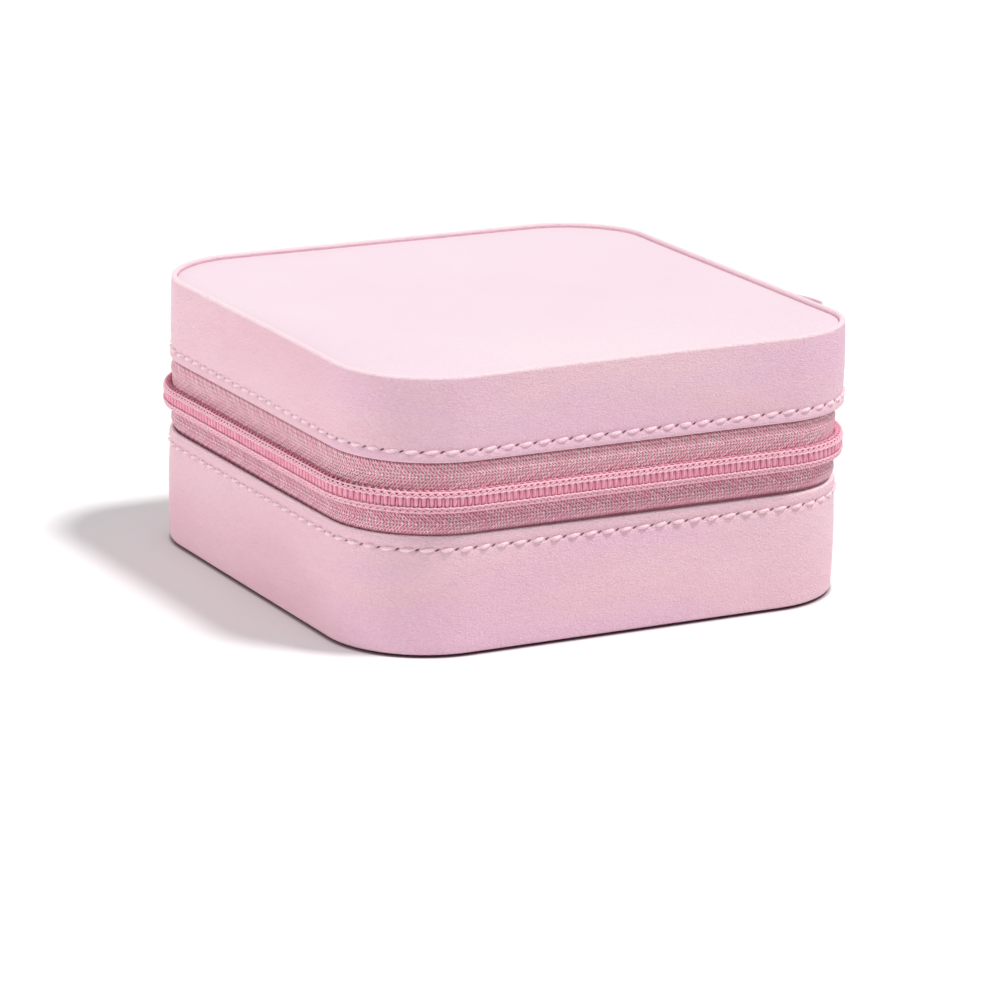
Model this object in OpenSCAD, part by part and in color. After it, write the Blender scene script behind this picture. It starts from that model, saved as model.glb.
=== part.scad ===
// Square zip-round jewellery case with a padded leather shell.
// The origin is the middle of the underside: +Z is up, +Y is the hinge side,
// and the zip slider is parked on the -X side, near the hinge.
// Every height is above the table. Every depth in a wall is measured
// inwards from the outer face of the leather.

/* [Case] */
// Width and depth of the closed case, over the leather
case_w = 100; // [96:1:106]
// Height of the closed case
case_h = 51; // [49:0.5:52]
// Radius of the upright corners, over the leather
corner_r = 18.5; // [16:0.5:19]

/* [Leather] */
// Thickness of one layer of leather
leather_t = 1; // [0.9:0.05:1.1]
// Height of the turned edge, doubled behind each band at the zip
turn_h = 4.2; // [3:0.1:5]
// Height of the lowest edge of the leather band above the table
band_foot = 1; // [0.6:0.1:1.2]

/* [Walls] */
// Depth at which the board walls start, behind leather and zip tape
board_depth = 2.5; // [2.5:0.1:2.8]
// Thickness of the board
board_t = 1.5; // [1.2:0.1:1.8]
// Thickness of the velvet lining
lining_t = 0.7; // [0.5:0.1:0.8]
// Gap left between the lined rims when the case is shut
rim_gap = 1; // [0.6:0.1:1.4]

/* [Zip] */
// Height of the centre line of the zip
zip_z = 28.5; // [27.5:0.5:29]
// Height of bare zip between the two leather bands
zip_gap = 13.5; // [13.5:0.5:15]
// Thickness of the woven tape
tape_t = 0.55; // [0.4:0.05:0.55]
// Width of the closed chain, over both rows of elements
chain_w = 4.4; // [4.2:0.1:4.6]
// Distance from one element to the next on the same tape
pitch = 1.25; // [1.25:0.05:1.5]
// Width of one element along the chain
element_w = 0.5; // [0.4:0.02:0.5]
// Distance from the middle of the case to the middle of the parked slider
slider_y = 25; // [20:0.5:26]

/* [Slider and pull] */
// Length of the slider
slider_len = 8.6; // [8:0.2:9]
// Width of the slider at its wide mouth
mouth_w = 7; // [6.8:0.1:7.4]
// Width of the slider at its tail
tail_w = 6.1; // [6:0.1:6.4]
// Thickness of the slider's plates
plate_t = 0.75; // [0.6:0.05:0.75]
// Length of the pull tab, from its pivot to its tip
pull_len = 21; // [16:0.5:24]
// Width of the pull tab
pull_w = 5.2; // [4.6:0.1:6]

/* [Hinge spine] */
// Half the width of the leather spine over the back wall
spine_half = 29; // [26:0.5:30]
// Thickness of the spine
spine_t = 1.2; // [1:0.1:1.2]

/* [Tray] */
// Distance of the long partition from the middle of the case
partition_x = 4.5; // [2:0.5:6]
// Thickness of the partition
partition_t = 2.6; // [2:0.1:3]
// Height of the top of the partition
partition_top = 21.5; // [18:0.5:22]
// Distance of each lift-out divider from the middle of the case
divider_y = 15.2; // [12:0.2:18]
// Thickness of a divider
divider_t = 2.4; // [2:0.1:3]
// Height of the top of a divider
divider_top = 20.6; // [16:0.2:21]
// Number of padded ring rolls
roll_count = 6; // [4:1:6]
// Radius of a ring roll
roll_r = 6.45; // [6:0.05:6.5]
// Distance from one ring roll to the next
roll_pitch = 13.3; // [13.2:0.1:13.4]
// Height of the middle of a ring roll
roll_z = 15.2; // [14.5:0.1:15.5]
// Height of the top of the bed under the rolls
bed_top = 9.6; // [9:0.1:10.5]

/* [Lid fittings] */
// Distance from the middle of the case to the mouth of the pocket
pocket_mouth = 4; // [0:0.5:10]
// How far the pocket stands off the lid lining
pocket_h = 4.2; // [3.5:0.1:4.4]
// Thickness of the gathered pocket cloth
pocket_t = 0.8; // [0.6:0.1:1]
// Distance between necklace straps
strap_pitch = 24; // [20:1:26]
// Width of a necklace strap
strap_w = 9; // [8:0.5:11]
// Length of a strap, from its fold to its tip
strap_len = 18; // [16:0.5:18]
// Distance from the middle of the case to the fold of the straps
strap_fold = 38; // [36:0.5:38]
// Distance from the fold of a strap to its snap
snap_reach = 13; // [11:0.5:13]
// Radius of the visible snap cap
snap_r = 4; // [3.5:0.1:4.2]

/* [Hidden] */
$fn = 96;

half_w = case_w / 2;
bend_c = half_w - corner_r;
straight = 2 * bend_c;

// Heights of the stacked layers, from the table up
bottom_t = 1.2;
bottom_depth = 2.2;
base_floor = bottom_t + board_t;
base_edge = zip_z - zip_gap / 2;
lid_edge = zip_z + zip_gap / 2;
panel_top = case_h - 0.7;
panel_t = 0.8;
foam_t = 1;
lid_board_top = panel_top - panel_t - foam_t;
lid_ceiling = lid_board_top - board_t - lining_t;
fit_gap = 0.1;
tray_floor = base_floor + lining_t;
base_rim = zip_z - rim_gap / 2;
lid_rim = zip_z + rim_gap / 2;

// Depths into the wall
fold_r = 0.95 * leather_t;
fold_depth = 2 * fold_r;
lip_r = 0.8;
foot_r = 0.9;
panel_gap = 0.05;
tape_depth = board_depth - tape_t;
lining_depth = board_depth + board_t;
inner_depth = lining_depth + lining_t;
inner_half = half_w - inner_depth;
inner_r = corner_r - inner_depth;

// The tape runs from behind the turned leather out to the back of the chain
tape_sewn = zip_gap / 2 + 8.4;
tape_bulge = 3.6;
chain_in = -0.35;
tape_edge = 0.3;
tape_parted = 1.4;
tape_tuck = 3;
tape_lead = 0.2;

// Chain: a loop is bent from one round filament
filament = 0.45;
loop_r = 0.8;
head_past = 0.5;
chain_mid = chain_in + loop_r;
coil_r = corner_r + chain_mid;
bend_t = 0.6 * filament;
bend_half = 0.35 * loop_r;
bend_inset = 0.15 * loop_r;
post_len = 2.6;
chain_gap = 0.6;
chain_start = slider_y + slider_len / 2 - post_len - chain_gap;
bend_run = coil_r * PI / 2;
chain_end = spine_half + chain_gap;
runs = [bend_c + chain_start, bend_run, straight, bend_run, straight, bend_run, bend_c - chain_end];
function run_start(k) = k == 0 ? 0 : run_start(k - 1) + runs[k - 1];
chain_run = run_start(len(runs));
element_count = floor(chain_run / pitch);
function leg_at(s, k = 0) = k == len(runs) - 1 || s < run_start(k + 1) ? k : leg_at(s, k + 1);

// Slider, from its inner plate out to its crown
inner_plate = -1.9;
outer_plate = 1.5;
flange_in = -0.1;
flange_t = 0.6;
nose_half = 1.8;
nose_len = 1.2;
tail_cut = 0.8;
plate_step = 0.2;
crown_half = 2.2;
crown_t = 1.3;
crown_wall = 0.6;
crown_h = 2.1;
crown_bend = 1;
pin_r = 0.5;
pin_out = outer_plate + plate_t + 0.75;
pull_t = 1;
pull_arm = 0.8;
pull_hole_r = 1.1;

// Stops pinched on the tape
stop_len = 1.6;
stop_t = 1.7;
stop_h = 1.6;
stop_proud = 0.5;
stop_grip = 0.35;
stop_gap = 0.6;

// Spine
spine_foot = 1.4;
spine_top = case_h - 0.3;
backing_depth = 0.6;
backing_t = 0.55;
backing_gap = 0.4;

// Tray
divider_gap = 0.6;
dip_r = 16;
dip_depth = 4;
roll_round = 4;
roll_from = partition_x + partition_t / 2 + 0.8;
roll_to = inner_half - 1.7;
roll_seat = 0.05;

// Lid fittings
pocket_inset = 1.5;
strap_t = 1;
strap_z = lid_ceiling - 2.1;
strap_corner = 3;
fold_gap = 0.4;
root_len = 4.5;
root_gap = 0.2;
cap_t = 0.6;
cap_dome = 0.4;
cap_edge = 0.9;
socket_r = 2.4;
socket_gap = 0.6;
socket_floor = 0.4;
stud_r = 1.5;
stud_gap = 0.6;
stud_foot = 0.45;
snap_play = 0.15;
hem_h = 1.4;
hem_w = 2;

leather_pink = "#e6b9c6";
leather_top = "#f4dfe7";
velvet_pink = "#f3dfe2";
tape_pink = "#cf94a6";
coil_pink = "#f2a9bf";
board_grey = "#b8b0a6";
foam_white = "#f3efe8";
metal_rose = "#dcb0a4";
cloth_pink = "#efcfd6";

// ---------- outlines ----------

// A square with round corners, centred on the origin
module rounded_square(w, r) {
    for (turn = [0, 90])
        rotate(turn) square([w, w - 2 * r], center = true);
    for (sx = [-1, 1], sy = [-1, 1])
        translate([sx, sy] * (w / 2 - r)) circle(r);
}

// The case's outline, pulled in by a depth
module outline(depth) {
    rounded_square(case_w - 2 * depth, corner_r - depth);
}

// A flat sheet of the case's outline
module sheet(depth, from, to) {
    translate([0, 0, from]) linear_extrude(to - from) outline(depth);
}

// An upright wall that follows the case's outline
module wall(outer, inner, from, to) {
    translate([0, 0, from]) linear_extrude(to - from) difference() {
        outline(outer);
        outline(inner);
    }
}

// A slot shape: a round-ended bar of half-width r between two heights
module stadium(x, r, from, to) {
    translate([x - r, from + r]) square([2 * r, to - from - 2 * r]);
    translate([x, from + r]) circle(r, $fn = 32);
    translate([x, to - r]) circle(r, $fn = 32);
}

// Runs a wall profile, drawn as [out from the leather, height], along one side.
// Side 0 is +X, 1 the hinge side, 2 is -X and 3 the front.
module along_side(side, from, to) {
    rotate(90 * side) translate([half_w, to, 0]) rotate([90, 0, 0]) linear_extrude(to - from) children();
}

// Runs a wall profile round one corner. Corner 0 joins side 0 to side 1.
module round_corner(corner, from = 0, to = 90) {
    rotate(90 * corner) translate([bend_c, bend_c, 0]) rotate(from)
        rotate_extrude(angle = to - from) translate([corner_r, 0]) children();
}

// Runs a wall profile all the way round
module all_round() {
    for (side = [0:3]) {
        along_side(side, -bend_c, bend_c) children();
        round_corner(side) children();
    }
}

// Draws one half of the zip: the lid's as it is, the base's mirrored below the centre line
module zip_half(side) {
    translate([0, 0, zip_z]) if (side > 0) children(); else mirror([0, 0, 1]) children();
}

// ---------- leather shell ----------

// The leather band: folded over its zip edge and over its other edge
module band_profile(zip_edge, far_edge, far_r, side) {
    fold_z = zip_edge + side * fold_r;
    far_z = far_edge - side * far_r;
    return_z = zip_edge + side * turn_h;
    turned = fold_depth - leather_t / 2;
    translate([-leather_t, min(fold_z, far_z)]) square([leather_t, abs(far_z - fold_z)]);
    translate([-fold_depth, min(fold_z, return_z)]) square([turned, abs(return_z - fold_z)]);
    translate([-fold_r, fold_z]) circle(fold_r, $fn = 48);
    translate([-far_r, far_z]) circle(far_r, $fn = 48);
    translate([-2 * far_r, min(far_z, far_z - side * leather_t)]) square([far_r, leather_t]);
}

module base_band() {
    color(leather_pink) all_round() band_profile(base_edge, band_foot, foot_r, -1);
}

module lid_band() {
    color(leather_pink) all_round() band_profile(lid_edge, case_h, lip_r, 1);
}

module base_bottom() {
    color(leather_pink) sheet(bottom_depth, 0, bottom_t);
}

module lid_panel() {
    color(leather_top) sheet(2 * lip_r + panel_gap, panel_top - panel_t, panel_top);
}

// One leather strip over the back wall, sewn to both bands
module hinge_spine() {
    color(leather_pink) along_side(1, -spine_half, spine_half)
        stadium(spine_t / 2, spine_t / 2, spine_foot, spine_top);
}

// Woven strip glued inside the spine where it bends, between the tucked ends of the zip
module spine_backing() {
    reach = spine_half - tape_tuck - backing_gap;
    color(cloth_pink) along_side(1, -reach, reach)
        translate([-backing_depth, base_edge + backing_gap]) square([backing_t, zip_gap - 2 * backing_gap]);
}

// ---------- boards, padding and lining ----------

module base_board() {
    color(board_grey) {
        sheet(board_depth, bottom_t, base_floor);
        wall(board_depth, lining_depth, bottom_t, base_rim - lining_t);
    }
}

module lid_board() {
    color(board_grey) {
        sheet(board_depth, lid_board_top - board_t, lid_board_top);
        wall(board_depth, lining_depth, lid_rim + lining_t, lid_board_top);
    }
}

module base_padding() {
    foot_inside = band_foot + foot_r + leather_t + fit_gap;
    color(foam_white) wall(leather_t, board_depth, foot_inside, zip_z - tape_sewn - fit_gap);
}

module lid_padding() {
    color(foam_white) wall(leather_t, board_depth, zip_z + tape_sewn + fit_gap, lid_board_top);
}

module lid_foam() {
    color(foam_white) sheet(2 * lip_r + fit_gap, lid_board_top + fit_gap, panel_top - panel_t);
}

// Velvet over the floor, up the walls and over the rim of the board
module base_lining() {
    color(velvet_pink) {
        sheet(lining_depth, base_floor, tray_floor);
        wall(lining_depth, inner_depth, base_floor, base_rim);
        wall(board_depth, inner_depth, base_rim - lining_t, base_rim);
    }
}

module lid_lining() {
    color(velvet_pink) {
        sheet(lining_depth, lid_ceiling, lid_ceiling + lining_t);
        wall(lining_depth, inner_depth, lid_rim, lid_ceiling + lining_t);
        wall(board_depth, inner_depth, lid_rim, lid_rim + lining_t);
    }
}

// ---------- zip ----------

// The tape, drawn as [out from the leather, distance from the centre line of the zip]
module tape_profile(edge) {
    bulge_in = chain_in - tape_t;
    polygon([
        [chain_in, edge],
        [chain_in, tape_bulge],
        [-tape_depth, zip_gap / 2],
        [-tape_depth, tape_sewn],
        [-board_depth, tape_sewn],
        [-board_depth, zip_gap / 2 - tape_lead],
        [bulge_in, tape_bulge - tape_lead],
        [bulge_in, edge]
    ]);
}

// The two tapes run from under one end of the spine to the other, and part at the slider's mouth
module tape(side) {
    tuck = spine_half - tape_tuck;
    zip_half(side) {
        along_side(1, tuck, bend_c) tape_profile(tape_edge);
        along_side(2, -bend_c, -chain_start) tape_profile(tape_parted);
        along_side(2, -chain_start, bend_c) tape_profile(tape_edge);
        along_side(3, -bend_c, bend_c) tape_profile(tape_edge);
        along_side(0, -bend_c, bend_c) tape_profile(tape_edge);
        along_side(1, -bend_c, -tuck) tape_profile(tape_edge);
        for (corner = [0:3])
            round_corner(corner) tape_profile(tape_edge);
    }
}

module base_tape() {
    color(tape_pink) tape(-1);
}

module lid_tape() {
    color(tape_pink) tape(1);
}

// Puts its children at a distance s along the chain from the parked slider:
// their x points out of the wall and their y along the chain
module on_chain(s) {
    leg = leg_at(s);
    past = s - run_start(leg);
    rotate(180 + 90 * floor(leg / 2))
        if (leg % 2 == 0)
            translate([half_w, past - (leg == 0 ? chain_start : bend_c), 0]) children();
        else
            translate([bend_c, bend_c, 0]) rotate(past / coil_r * 180 / PI)
                translate([corner_r, 0, 0]) children();
}

// One element: a loop of filament with a round head that hooks past the centre line
module element() {
    rotate([90, 0, 0]) linear_extrude(element_w, center = true) difference() {
        stadium(chain_mid, loop_r, -head_past, chain_w / 2);
        stadium(chain_mid, loop_r - filament, filament - head_past, chain_w / 2 - filament);
    }
}

// The bends behind the loops, where the filament steps from one element to the next
module loop_bends() {
    translate([chain_mid - bend_half, chain_w / 2 - bend_t - bend_inset]) square([2 * bend_half, bend_t]);
}

// A row of loops sewn to one tape. The two rows are half a pitch apart, so their heads interlock.
module coil(side) {
    first = side > 0 ? 0.75 : 0.25;
    zip_half(side) {
        for (i = [0:element_count - 1])
            on_chain((i + first) * pitch) element();
        along_side(2, -chain_start, bend_c) loop_bends();
        along_side(3, -bend_c, bend_c) loop_bends();
        along_side(0, -bend_c, bend_c) loop_bends();
        along_side(1, -bend_c, -chain_end) loop_bends();
        for (corner = [2, 3, 0])
            round_corner(corner) loop_bends();
    }
}

module base_coil() {
    color(coil_pink) coil(-1);
}

module lid_coil() {
    color(coil_pink) coil(1);
}

// A metal clip pinched on the parted tape edge, which stops the slider
module stop(side) {
    stop_y = slider_y + slider_len / 2 + stop_gap;
    zip_half(side) translate([-half_w, stop_y, 0]) difference() {
        translate([-stop_proud, 0, tape_parted - stop_grip]) cube([stop_t, stop_len, stop_h]);
        translate([-chain_in, -1, tape_parted]) cube([tape_t, stop_len + 2, stop_h]);
    }
}

module base_stop() {
    color(metal_rose) stop(-1);
}

module lid_stop() {
    color(metal_rose) stop(1);
}

// ---------- slider ----------

// Draws in the slider's own face: x runs to its tail, y up, and z out of the wall
module on_slider() {
    translate([-half_w, slider_y, zip_z]) rotate([90, 0, 270]) children();
}

module slider_plan(inset) {
    nose = slider_len / 2 - inset;
    mouth = mouth_w / 2 - inset;
    tail = tail_w / 2 - inset;
    polygon([
        [-nose, -nose_half], [-nose, nose_half], [nose_len - nose, mouth], [0, mouth],
        [nose - tail_cut, tail], [nose, tail - tail_cut], [nose, tail_cut - tail], [nose - tail_cut, -tail],
        [0, -mouth], [nose_len - nose, -mouth]
    ]);
}

// The side rails that keep the elements in the channel
module slider_flanges() {
    past = slider_len / 2 + 1.8;
    mouth = mouth_w / 2 - flange_t;
    tail = tail_w / 2 - flange_t;
    difference() {
        slider_plan(0);
        polygon([[-past, -mouth], [0, -mouth], [past, -tail], [past, tail], [0, mouth], [-past, mouth]]);
    }
}

// The wedge that parts the two rows of elements at the mouth
module slider_post() {
    front = -slider_len / 2;
    shoulder = front + 1.2;
    tip = front + post_len;
    polygon([[front, -0.6], [shoulder, -1], [tip, -0.1], [tip, 0.1], [shoulder, 1], [front, 0.6]]);
}

// The arch that holds the pull, drawn along the slider and standing out from its face
module crown_profile() {
    difference() {
        union() {
            square([2 * crown_half, crown_h - crown_bend]);
            translate([crown_bend, 0]) square([2 * (crown_half - crown_bend), crown_h]);
            for (end = [crown_bend, 2 * crown_half - crown_bend])
                translate([end, crown_h - crown_bend]) circle(crown_bend, $fn = 48);
        }
        translate([crown_wall, -1]) square([2 * (crown_half - crown_wall), crown_h + 1 - crown_wall]);
    }
}

module slider_body() {
    color(metal_rose) on_slider() {
        translate([0, 0, inner_plate]) linear_extrude(plate_t) slider_plan(0.3);
        translate([0, 0, outer_plate]) linear_extrude(plate_t - plate_step) slider_plan(0);
        translate([0, 0, outer_plate + plate_t - plate_step]) linear_extrude(plate_step) slider_plan(0.25);
        translate([0, 0, flange_in]) linear_extrude(outer_plate - flange_in) slider_flanges();
        translate([0, 0, inner_plate]) linear_extrude(outer_plate - inner_plate) slider_post();
        translate([-crown_half, crown_t / 2, outer_plate + plate_t]) rotate([90, 0, 0])
            linear_extrude(crown_t) crown_profile();
    }
}

// A flat tab with an eye. Its pin lies under the crown and is the pull's pivot.
module pull_tab() {
    eye_half = crown_t / 2 + 0.35;
    eye_end = crown_half + 0.8;
    arm_half = eye_half + pull_arm;
    grip_from = eye_end + 1;
    tip = pull_len - pull_w / 2;
    color(metal_rose) on_slider() translate([0, 0, pin_out]) {
        translate([0, 0, -pull_t / 2]) linear_extrude(pull_t) difference() {
            union() {
                translate([0, -arm_half]) square([tip, 2 * arm_half]);
                translate([grip_from, -pull_w / 2]) square([tip - grip_from, pull_w]);
                translate([tip, 0]) circle(pull_w / 2);
            }
            translate([-1, -eye_half]) square([eye_end + 1, 2 * eye_half]);
            translate([tip, 0]) circle(pull_hole_r, $fn = 48);
        }
        translate([0, arm_half, 0]) rotate([90, 0, 0]) cylinder(h = 2 * arm_half, r = pin_r, $fn = 48);
    }
}

// ---------- tray ----------

// A velvet-covered board, drawn as a section with a rounded top
module board_section(t, from, to) {
    translate([-t / 2, from]) square([t, to - from - t / 2]);
    translate([0, to - t / 2]) circle(t / 2, $fn = 48);
}

module partition() {
    color(velvet_pink) translate([partition_x, inner_half, 0]) rotate([90, 0, 0])
        linear_extrude(2 * inner_half) board_section(partition_t, tray_floor, partition_top);
}

// A loose divider with a thumb dip in its top edge
module divider(y) {
    from = -inner_half + divider_gap;
    to = partition_x - partition_t / 2 - divider_gap;
    middle = (from + to) / 2;
    color(velvet_pink) difference() {
        translate([from, y, 0]) rotate([90, 0, 90])
            linear_extrude(to - from) board_section(divider_t, tray_floor + fit_gap, divider_top);
        translate([middle, y + divider_t, divider_top - dip_depth + dip_r]) rotate([90, 0, 0])
            cylinder(h = 2 * divider_t, r = dip_r);
    }
}

module divider_front() {
    divider(-divider_y);
}

module divider_back() {
    divider(divider_y);
}

function roll_y(i) = (i - (roll_count + 1) / 2) * roll_pitch;

// Foam block under the rolls, hollowed where each roll sits
module ring_bed() {
    from = partition_x + partition_t / 2;
    color(velvet_pink) difference() {
        translate([0, 0, tray_floor]) linear_extrude(bed_top - tray_floor) intersection() {
            outline(inner_depth);
            translate([from, -half_w]) square([half_w, case_w]);
        }
        for (i = [1:roll_count])
            translate([0, roll_y(i), roll_z]) rotate([0, 90, 0])
                cylinder(h = half_w, r = roll_r + roll_seat);
    }
}

// A padded roll with rounded ends; rings are pressed between two rolls
module ring_roll(i) {
    reach = roll_to - roll_from;
    color(cloth_pink) translate([roll_from, roll_y(i), roll_z]) rotate([0, 90, 0]) rotate_extrude() {
        square([roll_r - roll_round, reach]);
        translate([0, roll_round]) square([roll_r, reach - 2 * roll_round]);
        for (end = [roll_round, reach - roll_round])
            translate([roll_r - roll_round, end]) intersection() {
                circle(roll_round, $fn = 64);
                translate([0, -roll_round]) square(2 * roll_round);
            }
    }
}

// ---------- lid fittings ----------

// A cloth pocket on the lid lining, open towards the front of the case
module lid_pocket() {
    color(cloth_pink) difference() {
        translate([0, 0, lid_ceiling - pocket_h]) linear_extrude(pocket_h) intersection() {
            outline(inner_depth + pocket_inset);
            translate([-half_w, pocket_mouth]) square(case_w);
        }
        translate([0, 0, lid_ceiling - pocket_h + pocket_t]) linear_extrude(pocket_h) intersection() {
            outline(inner_depth + pocket_inset + pocket_t);
            translate([-half_w, 0]) square(case_w);
        }
    }
}

// The gathered hem with elastic in it, along the pocket's mouth
module pocket_hem() {
    reach = inner_half - pocket_inset;
    color(cloth_pink) translate([-reach, pocket_mouth - hem_w, lid_ceiling - pocket_h])
        cube([2 * reach, hem_w, hem_h]);
}

// The sewn ends of the three necklace straps
module strap_roots() {
    color(leather_top) for (i = [-1:1])
        translate([i * strap_pitch - strap_w / 2, -strap_fold - root_len, strap_z])
            cube([strap_w, root_len - root_gap, lid_ceiling - strap_z]);
}

// One strap, from its fold to its round tip, with the hole for its snap
module strap(i) {
    tip_half = strap_w / 2 - strap_corner;
    tip_from = strap_len - strap_corner;
    color(leather_top) translate([i * strap_pitch, -strap_fold, strap_z]) linear_extrude(strap_t)
        difference() {
            union() {
                translate([-strap_w / 2, fold_gap]) square([strap_w, tip_from - fold_gap]);
                translate([-tip_half, fold_gap]) square([2 * tip_half, strap_len - fold_gap]);
                for (side = [-1, 1])
                    translate([side * tip_half, tip_from]) circle(strap_corner);
            }
            translate([0, snap_reach]) circle(socket_r);
        }
}

// The cap of a press snap, with its socket let through the strap
module snap_cap(i) {
    socket_top = lid_ceiling - socket_gap;
    cap_low = strap_z - cap_t - cap_dome;
    color(metal_rose) translate([i * strap_pitch, snap_reach - strap_fold, 0]) rotate_extrude()
        difference() {
            union() {
                translate([0, strap_z - cap_t]) square([snap_r, cap_t]);
                translate([0, cap_low]) square([snap_r - cap_edge, strap_z - cap_low]);
                translate([0, strap_z]) square([socket_r, socket_top - strap_z]);
            }
            translate([0, strap_z + socket_floor]) square([stud_r + snap_play, socket_top]);
        }
}

// The studs of the three snaps, riveted to the lid lining
module snap_studs() {
    color(metal_rose) for (i = [-1:1])
        translate([i * strap_pitch, snap_reach - strap_fold, 0]) rotate_extrude() {
            translate([0, lid_ceiling - stud_foot]) square([socket_r, stud_foot]);
            translate([0, strap_z + stud_gap]) square([stud_r, lid_ceiling - strap_z - stud_gap]);
        }
}

base_bottom();
base_band();
base_padding();
base_board();
base_lining();
base_tape();
base_coil();
base_stop();
partition();
ring_bed();
ring_roll(1);  // ring_roll_1
ring_roll(2);  // ring_roll_2
ring_roll(3);  // ring_roll_3
ring_roll(4);  // ring_roll_4
ring_roll(5);  // ring_roll_5
ring_roll(6);  // ring_roll_6
divider_front();
divider_back();
hinge_spine();
spine_backing();
lid_band();
lid_panel();
lid_foam();
lid_padding();
lid_board();
lid_lining();
lid_tape();
lid_coil();
lid_stop();
lid_pocket();
pocket_hem();
strap_roots();
snap_studs();
strap(-1);  // strap_left
strap(0);  // strap_middle
strap(1);  // strap_right
snap_cap(-1);  // snap_cap_left
snap_cap(0);  // snap_cap_middle
snap_cap(1);  // snap_cap_right
slider_body();
pull_tab();
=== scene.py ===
import math
import random

import bmesh
import bpy
from mathutils import Matrix, Vector, noise


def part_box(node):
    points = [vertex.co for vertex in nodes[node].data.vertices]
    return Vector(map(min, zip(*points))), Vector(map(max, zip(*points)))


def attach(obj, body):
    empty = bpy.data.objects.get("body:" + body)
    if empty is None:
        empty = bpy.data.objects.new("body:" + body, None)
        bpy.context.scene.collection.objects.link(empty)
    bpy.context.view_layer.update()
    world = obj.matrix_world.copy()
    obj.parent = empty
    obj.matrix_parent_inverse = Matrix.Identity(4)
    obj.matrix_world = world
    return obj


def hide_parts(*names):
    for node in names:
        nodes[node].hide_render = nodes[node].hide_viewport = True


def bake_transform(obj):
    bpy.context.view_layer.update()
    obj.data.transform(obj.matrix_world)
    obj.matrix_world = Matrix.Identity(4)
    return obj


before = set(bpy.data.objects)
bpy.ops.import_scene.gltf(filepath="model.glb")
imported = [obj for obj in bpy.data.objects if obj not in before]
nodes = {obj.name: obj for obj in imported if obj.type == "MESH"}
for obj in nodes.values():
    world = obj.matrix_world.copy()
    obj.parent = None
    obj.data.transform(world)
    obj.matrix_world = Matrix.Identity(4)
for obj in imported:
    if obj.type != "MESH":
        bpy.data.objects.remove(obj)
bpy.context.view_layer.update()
scene = bpy.context.scene
mm = 0.001
up = Vector((0, 0, 1))

# The case is a square with round corners. Places on its wall are given by the distance
# along the outline from the middle of the back, and the distance out from the leather's face.
shell = {
    "half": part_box("base_band")[1].x / mm,
    "height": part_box("lid_band")[1].z / mm,
    "lidEdge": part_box("lid_band")[0].z / mm,     # where the leather turns in at the zip
    "baseEdge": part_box("base_band")[1].z / mm,
    "cornerRadius": 18.5,
    "straightStep": 2.2,       # spacing of a sweep's rings on the flat sides
    "cornerSteps": 20,         # rings round one corner
    "slumpPlace": (46, -42),   # the front right corner has settled a little
    "slumpReach": 17,
    "lidSlump": 0.4,
    "baseRise": 0.35,
    "lidSpread": 1.012,        # how much fuller the leather is than the boards
    "baseSpread": 1.007,
    "lidShift": (0.1, 0.35),   # the lid sits a little towards the hinge
    "baseShift": (-0.15, -0.25),
    "firmHalf": (31, 40),      # the back wall is in line out to the first of these, and loose from the second
    "firmFrom": (20, 48),      # y from which it starts to be in line, and where it is
}
zipHeight = (shell["lidEdge"] + shell["baseEdge"]) / 2
flat = shell["half"] - shell["cornerRadius"]
bend = shell["cornerRadius"] * math.pi / 2
perimeter = 8 * flat + 4 * bend
leftSide = flat + bend   # where the -X side starts
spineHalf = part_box("hinge_spine")[1].x / mm


def wallPoint(along):
    # a place on the leather's face, in millimetres, and the way out of the wall there
    radius = shell["cornerRadius"]
    quarter, rest = divmod(along + flat, 2 * flat + bend)
    turn = Matrix.Rotation(quarter * math.pi / 2, 3, "Z")
    if rest <= 2 * flat:
        return turn @ Vector((flat - rest, shell["half"], 0)), turn @ Vector((0, 1, 0))
    angle = (rest - 2 * flat) / radius
    outward = Vector((-math.sin(angle), math.cos(angle), 0))
    return turn @ (Vector((-flat, flat, 0)) + outward * radius), turn @ outward


def wallMatrix(along):
    # from millimetres, with x out of the wall, y along it and z up, to the scene's metres
    place, outward = wallPoint(along)
    heading = up.cross(outward)
    turn = Matrix((outward, heading, up)).transposed().to_4x4()
    return Matrix.Scale(mm, 4) @ Matrix.Translation(place) @ turn


def ramp(value, start, end):
    share = min(max((value - start) / (end - start), 0), 1)
    return share * share * (3 - 2 * share)


def looseness(x, y):
    # the back wall stays in line, so that the lid folds flat behind the base
    return 1 - (1 - ramp(abs(x), *shell["firmHalf"])) * ramp(y, *shell["firmFrom"])


def settle(verts):
    # fills out the leather, and lets it slump round one corner, most at the rim and at the zip
    for vert in verts:
        x, y, z = vert.co / mm
        away = math.hypot(x - shell["slumpPlace"][0], y - shell["slumpPlace"][1])
        near = math.exp(-0.5 * (away / shell["slumpReach"]) ** 2)
        if z > zipHeight:
            share = max(z - shell["lidEdge"], 0) / (shell["height"] - shell["lidEdge"])
            z -= shell["lidSlump"] * near * share ** 1.5
        else:
            z += shell["baseRise"] * near * (z / shell["baseEdge"]) ** 2
        part = "lid" if z > zipHeight else "base"
        spread, shift = shell[part + "Spread"], shell[part + "Shift"]
        loose = looseness(x, y)
        vert.co = Vector((x * spread + shift[0], y + (y * (spread - 1) + shift[1]) * loose, z)) * mm


def ringMarks(start, end):
    marks = [start]
    edge = -flat
    while edge < end:
        for length, step in ((2 * flat, shell["straightStep"]), (bend, bend / shell["cornerSteps"])):
            low, high = max(edge, start), min(edge + length, end)
            edge += length
            count = math.ceil((high - low) / step - 0.01)
            marks += [low + (high - low) * (k + 1) / count for k in range(count)]
    return marks


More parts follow.
